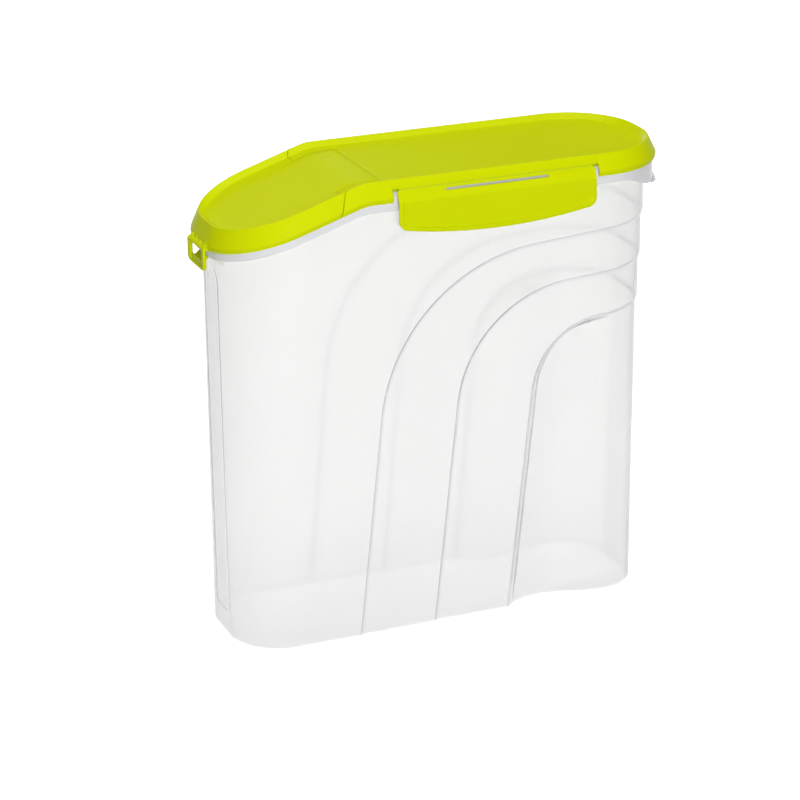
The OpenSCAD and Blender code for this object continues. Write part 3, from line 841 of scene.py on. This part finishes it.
WING_MID = (wing_low.x + wing_high.x) / 2
WING_HALF = (wing_high.x - wing_low.x) / 2
WING_Y = wing_high.y  # outer face at the lower edge
WING_LOW = wing_low.z
WING_TOP = wing_high.z
FILM_Y = wing_film_high.y  # outer edge of the film at the wing
WING_T = 1.4
WING_R = 5.0
WING_BOW_R = 312.0
WING_BORDER = 2.2
DISH_Y = WING_Y - 0.95
SHOULDER_Z = FLANGE_Z + 4.2
SOFT_EDGE = 0.35
HOOK_HALF = 29.5
SLOT_LOW = FLANGE_Z + 8.1
SLOT_HIGH = SLOT_LOW + 1.2
SLOT_R = 0.5
SHOULDER_LINES = (4.0, 4.8, 5.5, 6.2, 6.9, 7.6, 8.4, 9.4)  # mesh lines below the top of a wing
SHOULDER_END = 3.2  # distance of their ends from the ends of the wing
DOTS_UNDER = 10.4  # highest of the other mesh points below that top
DOT_WING = 2.5  # spacing of those
DISH_POINTS = 93  # points of a wing's outline that each mesh line along the dish has
HOOK_LIP = 0.7  # height of the hook's catching edge
HOOK_DROP = 4.2  # height of its root


def wing_outline(inset):
    """Face outline of a wing in X from its middle and in Z, set in, from one top corner round."""
    half = WING_HALF - inset
    r = WING_R - min(inset, WING_R - 1)
    reach = WING_BOW_R - inset - r
    middle = WING_LOW + WING_BOW_R
    a = math.asin((half - r) / reach)
    top = WING_TOP - inset
    corner_z = middle - reach * math.cos(a)
    down = np.linspace(top, corner_z, 16)[:-1]
    turn = np.linspace(math.pi, 1.5 * math.pi - a, 10)
    bow = np.linspace(1.5 * math.pi - a, 1.5 * math.pi + a, 61)[1:-1]
    left = [(-half, z) for z in down]
    left += [(-half + r + r * math.cos(b), corner_z + r * math.sin(b)) for b in turn]
    low = [((reach + r) * math.cos(b), middle + (reach + r) * math.sin(b)) for b in bow]
    right = [(-x, z) for x, z in left[::-1]]
    across_top = [(x, top) for x in np.linspace(half, -half, 61)[1:-1]]
    return np.array(left + low + right + across_top)


def inside_wing(x, z):
    """Distance inside the ends and the lower edge of a wing."""
    r = WING_R - WING_BORDER
    half = WING_HALF - WING_BORDER
    middle = WING_LOW + WING_BOW_R
    low = middle - np.sqrt((WING_BOW_R - WING_BORDER) ** 2 - x ** 2)
    dx = np.maximum(np.abs(x) - half + r, 0)
    dz = np.maximum(low + r - z, 0)
    return WING_BORDER + r - np.hypot(dx, dz)


def section_at(points, z):
    """Y of a section given as points that fall in Z."""
    points = np.array(points)[::-1]
    return np.interp(z, points[:, 1], points[:, 0])


FACE = rounded([(FILM_Y, WING_TOP), (WING_Y - 0.6, SHOULDER_Z), (WING_Y, WING_LOW)], [4.0], 16)
DISH = rounded([(FILM_Y, WING_TOP), (DISH_Y, SHOULDER_Z + 0.4), (DISH_Y + 0.02, WING_LOW)], [4.0], 16)
BACK = rounded([(FILM_Y - 0.4, WING_TOP), (WING_Y - 2.0, SHOULDER_Z - 0.6), (WING_Y - WING_T, WING_LOW)],
               [2.5], 12)


def wing_face(x, z):
    """Y of a wing's outer face, dished inside its border."""
    mask = ease((inside_wing(x, z) - WING_BORDER + 0.2) / 0.4)
    return section_at(FACE, z) * (1 - mask) + section_at(DISH, z) * mask


def slot_outline(inset):
    """Outline of the slot in the shoulder, grown inwards by inset."""
    r = SLOT_R + inset
    points = []
    for cx, cz, start in ((1, 1, 0), (-1, 1, 90), (-1, -1, 180), (1, -1, 270)):
        x = cx * (HOOK_HALF - SLOT_R)
        z = (SLOT_LOW + SLOT_HIGH) / 2 + cz * ((SLOT_HIGH - SLOT_LOW) / 2 - SLOT_R)
        for a in np.radians(np.linspace(start, start + 90, 5)):
            points.append((x + r * math.cos(a), z + r * math.sin(a)))
    filled = []
    for a, b in zip(points, points[1:] + points[:1]):
        n = max(1, int(abs(b[0] - a[0]) / 3))
        filled.extend((a[0] + (b[0] - a[0]) * k / n, a[1] + (b[1] - a[1]) * k / n) for k in range(n))
    return np.array(filled)


def soft_rim(shape, face_ring, back_ring, outer, edge):
    """Rounded edge between the face and the back along an outline that grows from edge to outer."""
    def at(flat, y):
        return np.stack([WING_MID + flat[:, 0], y, flat[:, 1]], -1)
    y_face = np.array([shape.points[i][1] for i in face_ring])
    y_back = np.array([shape.points[i][1] for i in back_ring])
    r = np.minimum(SOFT_EDGE, 0.45 * (y_face - y_back))
    turns = [math.pi / 2 * k / 4 for k in range(1, 5)]
    places = [(a, y_face - r * (1 - math.cos(a))) for a in turns]
    places += [(a, y_back + r * (1 - math.cos(a))) for a in turns[::-1]]
    rows = [face_ring]
    rows += [shape.add(at(edge + (outer - edge) * math.sin(a), y)) for a, y in places]
    rows.append(back_ring)
    for a, b in zip(rows, rows[1:]):
        shape.bridge(a, b, closed=True)


def build_wing():
    """Clip wing on the +Y side: a dished sheet with a slot and a snap hook."""
    shape = Shape()
    edge, outer = wing_outline(SOFT_EDGE), wing_outline(0)
    slot_edge, slot = slot_outline(SOFT_EDGE * 0.6), slot_outline(0)
    dish = [wing_outline(WING_BORDER + d)[:DISH_POINTS] for d in (-0.4, -0.2, 0, 0.2, 0.4)]
    lines = [list(map(tuple, slot_edge)) + [tuple(slot_edge[0])]]
    lines += [[p for p in line if p[1] < WING_TOP - 1.2] for line in dish]
    shoulder_half = WING_HALF - SHOULDER_END
    lines += [[(x, z) for x in np.linspace(-shoulder_half, shoulder_half, 60)]
              for z in (WING_TOP - fall for fall in SHOULDER_LINES)]
    dots = [(x, z) for x in np.arange(-WING_HALF + 5, WING_HALF - 4, DOT_WING)
            for z in np.arange(WING_LOW + 4, WING_TOP - DOTS_UNDER, DOT_WING)
            if inside_wing(x, z) > WING_BORDER + 1.5]
    flat, triangles, became = triangulate([tuple(p) for p in edge], lines, dots)
    ring = [became[i] for i in range(len(edge))]
    hole = [became[len(edge) + i] for i in range(len(slot_edge))]
    hole_r = SLOT_R + SOFT_EDGE * 0.6
    kept = []
    for f in triangles:
        cx, cz = np.mean([flat[i] for i in f], axis=0)
        dx = max(abs(cx) - HOOK_HALF + SLOT_R, 0)
        dz = max(abs(cz - (SLOT_LOW + SLOT_HIGH) / 2) - (SLOT_HIGH - SLOT_LOW) / 2 + SLOT_R, 0)
        if math.hypot(dx, dz) >= hole_r - 1e-4:
            kept.append(f)
    x, z = flat[:, 0], flat[:, 1]
    rows = {}
    for side, y in ((1, wing_face(x, z)), (-1, section_at(BACK, z))):
        index = shape.add(np.stack([WING_MID + x, y, z], -1))
        shape.faces.extend(tuple(index[i] for i in (f[::-1] if side > 0 else f)) for f in kept)
        rows[side] = ([index[i] for i in ring], [index[i] for i in hole])
    soft_rim(shape, rows[1][0], rows[-1][0], outer, edge)
    soft_rim(shape, rows[1][1][::-1], rows[-1][1][::-1], slot[::-1], slot_edge[::-1])
    wing = shape.build("far_wing", sharp=60)
    hook_z = FLANGE_Z - 0.35
    hook_y = HALF_WALL + 0.3
    back_y = WING_Y - WING_T
    section = [(hook_y, hook_z), (hook_y, hook_z - HOOK_LIP), (back_y + 0.3, hook_z - HOOK_DROP),
               (back_y + 0.3, hook_z)]
    hook = prism("hook", section, WING_MID - HOOK_HALF, WING_MID + HOOK_HALF, along="X")
    return combine(wing, "UNION", bevel_sharp(hook, 0.2, segments=2))


def mirrored(obj, name):
    """Copy of an object mirrored in Y."""
    copy = copy_of(obj)
    copy.name = copy.data.name = name
    work = bmesh.new()
    work.from_mesh(copy.data)
    for v in work.verts:
        v.co.y = -v.co.y
    bmesh.ops.reverse_faces(work, faces=work.faces)
    work.to_mesh(copy.data)
    work.free()
    return copy


far_wing = build_wing()
near_wing = mirrored(far_wing, "near_wing")


# ---- films ---------------------------------------------------------------------------------

GRIP_IN = 0.12  # how far a film runs into the walls that it joins
FILM_SAG = 0.16
FILM_T = 0.3


def film(name, start, end, low, high, along):
    """Film between two lines: its upper face sags, and it runs along X or Y."""
    a, b = Vector(start), Vector(end)
    run = (b - a).normalized()
    up = Vector((-run.y, run.x))
    a, b = a - run * GRIP_IN, b + run * GRIP_IN
    top = [a.lerp(b, k) - up * FILM_SAG * math.sin(math.pi * k) for k in np.linspace(0, 1, 11)]
    under = [p - up * FILM_T for p in top]
    return prism(name, [tuple(p) for p in top + under[::-1]], low, high, along)


flap_film = film("flap_film", (HINGE_X - FILM_W / 2, PANEL_Z - 0.12),
                 (HINGE_X + FILM_W / 2, PANEL_Z - 0.12), -TONGUE_HALF, TONGUE_HALF, "Y")
far_film = film("far_film", (wing_film_low.y + 0.35, wing_film_high.z), (FILM_Y - 0.05, WING_TOP),
                wing_film_low.x, wing_film_high.x, "X")
near_film = mirrored(far_film, "near_film")


# ---- catch loop at the nose ----------------------------------------------------------------

CATCH_HALF = catch_high.y
CATCH_FACE = catch_low.x
CATCH_BAR = 3.4  # width of the side bars
CATCH_T = 1.9
CATCH_RIM = 1.2  # rim left round the recess in the lower bar
CATCH_DENT = 0.9  # depth of that recess
CATCH_DROP = 6.7  # lowest edge below the container's pouring lip
LOWER_BAR = 4.3  # height of the lower bar
WINDOW_RISE = 4.4  # top of the window above the pouring lip
ROOT_RISE = 0.9  # front of the root above the window
ROOT_SLOPE = 3.3  # further rise of the root to the skirt
LIP_HALF = 6.0
LIP_RUN = 1.1  # how far the hooked lip reaches under the pouring lip
LIP_PLAY = 0.35
RIB_PITCH = 6.4
RIB_T = 1.1
CUTTER = 5.0  # reach of a cutter past the loop's faces
EDGE_RISE = 3.0  # reach of a cut past the upper edge of its outline


def lower_rounded(half, top, low, r, segments):
    """Closed upright outline with rounded lower corners."""
    right = rounded([(0.3, top), (half, top), (half, low), (0.3, low)], [0.0, r], segments)
    return right + [(-y, z) for y, z in right[::-1]]


def build_catch():
    """Loop that hooks under the pouring lip: a frame with a recessed lower bar and a hooked lip."""
    back = CATCH_FACE + CATCH_T
    lip_x = SKIRT_NOSE + FLANGE_IN
    under = FLANGE_Z - float(drop(lip_x))
    low = under - CATCH_DROP
    bar_top = low + LOWER_BAR
    window_top = under + WINDOW_RISE
    high = window_top + ROOT_RISE
    root_x = SKIRT_NOSE + SKIRT_ROLL + LID_T
    root_z = SKIRT_BOTTOM - float(drop(SKIRT_NOSE))
    window_half = CATCH_HALF - CATCH_BAR
    window = lower_rounded(window_half, window_top + EDGE_RISE, bar_top, 0.5, 4)
    recess = lower_rounded(window_half, bar_top + EDGE_RISE, low + CATCH_RIM, 1.8, 6)
    loop = prism("catch_loop", lower_rounded(CATCH_HALF, window_top, low, 3.0, 9), CATCH_FACE, back, "X")
    root = rounded([(CATCH_FACE, window_top - 0.05), (CATCH_FACE, high), (root_x, high + ROOT_SLOPE),
                    (root_x, root_z), (back, window_top - 0.05)], [0.9, 0.0, 0.0], 5)
    combine(loop, "UNION", prism("root", root, -CATCH_HALF, CATCH_HALF))
    combine(loop, "DIFFERENCE", prism("window", [(y, min(z, window_top)) for y, z in window],
                                      CATCH_FACE - CUTTER, back + CUTTER, "X"),
            prism("recess", recess, CATCH_FACE - CUTTER, CATCH_FACE + CATCH_DENT, "X"))
    lip_end, lip_top = lip_x + LIP_RUN, under - LIP_PLAY
    lip = rounded([(back - 0.1, low + 2.4), (lip_end, under - 1.9), (lip_end, lip_top), (lip_x, lip_top),
                   (back - 0.1, bar_top + 0.1)], [0.4, 0.35, 0.35], 3)
    rib = [(CATCH_FACE + 0.9, high - 0.2), (CATCH_FACE + 0.9, high + 0.9), (root_x, high + 4.6),
           (root_x, high)]
    ribs = [prism("rib", rib, k * RIB_PITCH - RIB_T / 2, k * RIB_PITCH + RIB_T / 2)
            for k in (-1.5, -0.5, 0.5, 1.5)]
    combine(loop, "UNION", prism("lip", lip, -LIP_HALF, LIP_HALF), *ribs)
    loop.data.polygons.foreach_set("material_index", [0] * len(loop.data.polygons))
    combine(loop, "DIFFERENCE", lid_envelope())
    return bevel_sharp(loop, 0.3, angle=40, segments=3)


def lid_envelope():
    """Tool with everything inside the outer surface of the lid."""
    shape = Shape()
    rows = [shape.add(rim_ring(LID_ROW, i, z)) for i, z in (
        (SKIRT_ROLL + LID_T, SKIRT_BOTTOM), (SKIRT_ROLL, SKIRT_BOTTOM), (0.02, WIDE_Z), (CREST_IN, TOP_Z),
        (FOOT_IN, PANEL_Z))]
    for a, b in zip(rows, rows[1:]):
        shape.bridge(a, b)
    shape.faces.append(tuple(rows[0]))
    shape.faces.append(tuple(reversed(rows[-1])))
    shape.mirror_y()
    return shape.build("envelope")


catch = build_catch()


# ---- materials -----------------------------------------------------------------------------


POLYPROPYLENE_IOR = 1.49
FACTOR, FIRST, SECOND, RESULT = 0, 6, 7, 2  # sockets of a node that mixes two colours
SLANT_FROM = 0.45  # turn away from the eye at which the painted edge-on shade begins
SLANT_SHADE = 0.8  # strength of the painted shade edge-on


def srgb(r, g, b):
    """Linear colour of an 8-bit sRGB one."""
    return tuple((v / 255 / 12.92) if v <= 10 else ((v / 255 + 0.055) / 1.055) ** 2.4
                 for v in (r, g, b)) + (1.0,)


def add_node(nodes, kind, values=(), **settings):
    """New shader node with its settings and the values of its named inputs."""
    node = nodes.new("ShaderNode" + kind)
    for name, value in settings.items():
        setattr(node, name, value)
    for name, value in dict(values).items():
        node.inputs[name].default_value = value
    return node


def reckon(nodes, links, operation, first, second):
    """Outcome of a Math node for a socket and another socket or a number."""
    node = add_node(nodes, "Math", operation=operation)
    links.new(first, node.inputs[0])
    if isinstance(second, bpy.types.NodeSocket):
        links.new(second, node.inputs[1])
    else:
        node.inputs[1].default_value = second
    return node.outputs["Value"]


def moulding_group():
    """Moulded plastic's own grain: a bump normal, a roughness mask and a slight shade of colour."""
    group = bpy.data.node_groups.new("moulding_grain", "ShaderNodeTree")
    for name, kind in (("Normal", "Vector"), ("Gloss", "Float"), ("Shade", "Float")):
        group.interface.new_socket(name, in_out="OUTPUT", socket_type="NodeSocket" + kind)
    nodes, links = group.nodes, group.links
    out = nodes.new("NodeGroupOutput")
    where = add_node(nodes, "TexCoord")
    fine = add_node(nodes, "TexNoise", {"Scale": 900, "Detail": 3})
    broad = add_node(nodes, "TexNoise", {"Scale": 14, "Detail": 2})
    bump = add_node(nodes, "Bump", {"Strength": 0.03, "Distance": 0.0001})
    gloss = add_node(nodes, "MapRange", {"To Min": -0.02, "To Max": 0.02})
    for noise in (fine, broad):
        links.new(where.outputs["Object"], noise.inputs["Vector"])
    links.new(fine.outputs["Fac"], bump.inputs["Height"])
    links.new(bump.outputs["Normal"], out.inputs["Normal"])
    links.new(broad.outputs["Fac"], gloss.inputs["Value"])
    links.new(gloss.outputs["Result"], out.inputs["Gloss"])
    links.new(broad.outputs["Fac"], out.inputs["Shade"])
    return group


GRAIN = moulding_group()


def plastic(name, light, dark, roughness):
    """Polypropylene whose colour and roughness drift slightly with the moulding grain."""
    material = bpy.data.materials.new(name)
    material.use_nodes = True
    nodes, links = material.node_tree.nodes, material.node_tree.links
    shader = nodes["Principled BSDF"]
    shader.inputs["IOR"].default_value = POLYPROPYLENE_IOR
    grain = add_node(nodes, "Group", node_tree=GRAIN)
    ramp = add_node(nodes, "ValToRGB")
    for stop, place, colour in zip(ramp.color_ramp.elements, (0.3, 0.7), (dark, light)):
        stop.position, stop.color = place, colour
    links.new(grain.outputs["Shade"], ramp.inputs["Fac"])
    links.new(ramp.outputs["Color"], shader.inputs["Base Color"])
    rough = reckon(nodes, links, "ADD", grain.outputs["Gloss"], roughness)
    links.new(rough, shader.inputs["Roughness"])
    links.new(grain.outputs["Normal"], shader.inputs["Normal"])
    return material, shader


def lime_polypropylene():
    material, shader = plastic("glossy_lime", srgb(207, 219, 5), srgb(204, 216, 3), 0.36)
    shader.inputs["Specular IOR Level"].default_value = 0.03
    return material


def lime_film():
    material, shader = plastic("thin_lime", srgb(196, 210, 8), srgb(190, 204, 6), 0.45)
    shader.inputs["Specular IOR Level"].default_value = 0.15
    return material


def translucent_polypropylene():
    """Clear milky wall, with painted shade along the edges of its steps and painted shade where it turns
    edge-on to the eye.
    """
    material, shader = plastic("milky_translucent", srgb(254, 254, 254), srgb(253, 253, 253), 0.13)
    shader.inputs["Transmission Weight"].default_value = 0.8
    nodes, links = material.node_tree.nodes, material.node_tree.links
    # painted shade along the edges of the steps, read from the stored point attribute
    tone = add_node(nodes, "Attribute", attribute_name="tone")
    # painted shade that grows where the wall turns edge-on to the eye
    slanted = add_node(nodes, "LayerWeight", {"Blend": 0.5})
    edge = add_node(nodes, "MapRange", {"From Min": SLANT_FROM, "From Max": 1.0, "To Max": SLANT_SHADE})
    links.new(slanted.outputs["Facing"], edge.inputs["Value"])
    mix = add_node(nodes, "Mix", data_type="RGBA")
    # grey that the painted shade mixes into the wall's colour
    mix.inputs[SECOND].default_value = srgb(212, 213, 221)
    colour = shader.inputs["Base Color"]
    painted_shade = reckon(nodes, links, "MAXIMUM", tone.outputs["Fac"], edge.outputs["Result"])
    links.new(painted_shade, mix.inputs[FACTOR])
    links.new(colour.links[0].from_socket, mix.inputs[FIRST])
    links.new(mix.outputs[RESULT], colour)
    return material


def rim_polypropylene():
    material, shader = plastic("milky_rim", srgb(243, 243, 248), srgb(241, 241, 246), 0.25)
    shader.inputs["Transmission Weight"].default_value = 0.35
    return material


LIME = lime_polypropylene()
FILM = lime_film()
MILKY = translucent_polypropylene()
MILKY_RIM = rim_polypropylene()


def finish_piece(piece, material, slot, *nodes):
    """Gives a piece its material and hides the CAD nodes that it stands for."""
    piece.data.materials.clear()
    piece.data.materials.append(material)
    piece.data.polygons.foreach_set("material_index", [0] * len(piece.data.polygons))
    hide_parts(*nodes)


LIME_SLOT, FILM_SLOT, MILKY_SLOT = "lime_polypropylene", "lime_film", "translucent_polypropylene"
for piece, material, slot, node, riding in (
        (body, MILKY, MILKY_SLOT, "container", "container"), (lid, LIME, LIME_SLOT, "lid", "lid"),
        (flap, LIME, LIME_SLOT, "spout_flap", "flap"), (catch, LIME, LIME_SLOT, "nose_catch", "flap"),
        (near_wing, LIME, LIME_SLOT, "near_clip_wing", "near_wing"),
        (far_wing, LIME, LIME_SLOT, "far_clip_wing", "far_wing"),
        (flap_film, FILM, FILM_SLOT, "flap_hinge_film", None),
        (near_film, FILM, FILM_SLOT, "near_hinge_film", None),
        (far_film, FILM, FILM_SLOT, "far_hinge_film", None)):
    finish_piece(piece, material, slot, node)
    if riding:
        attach(piece, riding)

body.data.materials.append(MILKY_RIM)
for face in body.data.polygons:
    place = face.center / MM
    on_tab = place.x > SKIRT_REAR - FLANGE_IN + 0.2
    face.material_index = int(on_tab or above_wall(place.x, place.z))

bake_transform(flap_film)
for piece, side, name in ((near_film, -1, "near_wing"), (far_film, 1, "far_wing")):
    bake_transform(piece)


# ---- camera, light and floor ---------------------------------------------------------------


CAMERA_TURN = (-22.37, 20.82, -0.53)  # azimuth, elevation and roll in degrees
CAMERA_AIM = (-1.5, 0.0, 130.0)
CAMERA_SHIFT = (14.41, 11.80)  # left and down from there, seen from the camera
CAMERA_AWAY = 1595.84
LENS = 130.14
LIGHTS = (("front", (-0.7, -2.5, 0.75), 1.6, 53), ("top", (0.0, 0.2, 2.4), 2.0, 40),
          ("rear", (0.3, 2.4, 0.4), 1.0, 8))  # name, place and size in metres, power in watts
LIT_PLACE = (0, 0, 0.13)  # point in metres that the lights face
SEEN_STRENGTH = 1.0
FILL_STRENGTH = 0.08
BACKDROP_TOP = (0.0, 0.16)  # sines of the heights between which the backdrop fades out
FLOOR_HALF = 9.0
FLOOR_GREY = 0.55
FLOOR_LIFT = 0.88


def add_camera():
    az, el, roll = (math.radians(v) for v in CAMERA_TURN)
    right = Vector((math.cos(az), math.sin(az), 0))
    back = Vector((math.sin(az) * math.cos(el), -math.cos(az) * math.cos(el), math.sin(el)))
    up = back.cross(right)
    across = right * math.cos(roll) + up * math.sin(roll)
    upward = up * math.cos(roll) - right * math.sin(roll)
    aim = Vector(CAMERA_AIM) - right * CAMERA_SHIFT[0] - up * CAMERA_SHIFT[1]
    data = bpy.data.cameras.new("camera")
    data.lens = LENS
    data.sensor_width = 36
    data.clip_start, data.clip_end = 0.05, 50
    camera = bpy.data.objects.new("camera", data)
    camera.matrix_world = Matrix((across, upward, back)).transposed().to_4x4()
    camera.location = (aim + back * CAMERA_AWAY) * MM
    bpy.context.scene.collection.objects.link(camera)
    bpy.context.scene.camera = camera


def add_light(name, place, size, power):
    """Square area light, turned to the middle of the part."""
    data = bpy.data.lights.new(name, "AREA")
    data.size = size
    data.energy = power
    light = bpy.data.objects.new(name, data)
    light.location = place
    light.rotation_euler = (Vector(LIT_PLACE) - Vector(place)).to_track_quat("-Z", "Y").to_euler()
    light.visible_camera = light.visible_transmission = False
    bpy.context.scene.collection.objects.link(light)


def seen_plainly(nodes, links, within=1.0):
    """1 where the camera sees a surface, or the part's gloss and clear walls do, otherwise 0.

    A mask given as within limits what gloss and clear walls see.
    """
    path = add_node(nodes, "LightPath").outputs
    by_part = reckon(nodes, links, "MAXIMUM", path["Is Glossy Ray"], path["Is Transmission Ray"])
    by_part = reckon(nodes, links, "MULTIPLY", by_part, within)
    return reckon(nodes, links, "MAXIMUM", path["Is Camera Ray"], by_part)


def add_world():
    """Soft even surroundings behind a plain white backdrop that stands round the horizon."""
    world = bpy.data.worlds.new("studio")
    bpy.context.scene.world = world
    world.use_nodes = True
    nodes, links = world.node_tree.nodes, world.node_tree.links
    nodes.clear()
    where = add_node(nodes, "TexCoord")
    parts = add_node(nodes, "SeparateXYZ")
    backdrop = add_node(nodes, "MapRange", {"From Min": BACKDROP_TOP[0], "From Max": BACKDROP_TOP[1],
                                            "To Min": 1, "To Max": 0}, interpolation_type="SMOOTHSTEP")
    links.new(where.outputs["Generated"], parts.inputs["Vector"])
    links.new(parts.outputs["Z"], backdrop.inputs["Value"])
    mix = add_node(nodes, "MixShader")
    links.new(seen_plainly(nodes, links, backdrop.outputs["Result"]), mix.inputs["Fac"])
    for place, strength in ((1, FILL_STRENGTH), (2, SEEN_STRENGTH)):
        light = add_node(nodes, "Background", {"Color": (1, 1, 1, 1), "Strength": strength})
        links.new(light.outputs["Background"], mix.inputs[place])
    links.new(mix.outputs["Shader"], add_node(nodes, "OutputWorld").inputs["Surface"])


def add_floor():
    """Pale floor that keeps the part's shadow and is lifted to white where it is seen."""
    data = bpy.data.meshes.new("floor")
    data.from_pydata([(x * FLOOR_HALF, y * FLOOR_HALF, 0)
                      for x, y in ((-1, -1), (1, -1), (1, 1), (-1, 1))], [], [(0, 1, 2, 3)])
    floor = bpy.data.objects.new("floor", data)
    bpy.context.scene.collection.objects.link(floor)
    material = bpy.data.materials.new("pale_floor")
    material.use_nodes = True
    nodes, links = material.node_tree.nodes, material.node_tree.links
    shader = nodes["Principled BSDF"]
    shader.inputs["Base Color"].default_value = (FLOOR_GREY, FLOOR_GREY, FLOOR_GREY, 1)
    shader.inputs["Roughness"].default_value = 0.7
    shader.inputs["Emission Color"].default_value = (1, 1, 1, 1)
    lift = reckon(nodes, links, "MULTIPLY", seen_plainly(nodes, links), FLOOR_LIFT)
    links.new(lift, shader.inputs["Emission Strength"])
    data.materials.append(material)


add_camera()
for light_values in LIGHTS:
    add_light(*light_values)
add_world()
add_floor()
bpy.context.scene.view_settings.view_transform = "Standard"

bpy.context.view_layer.update()
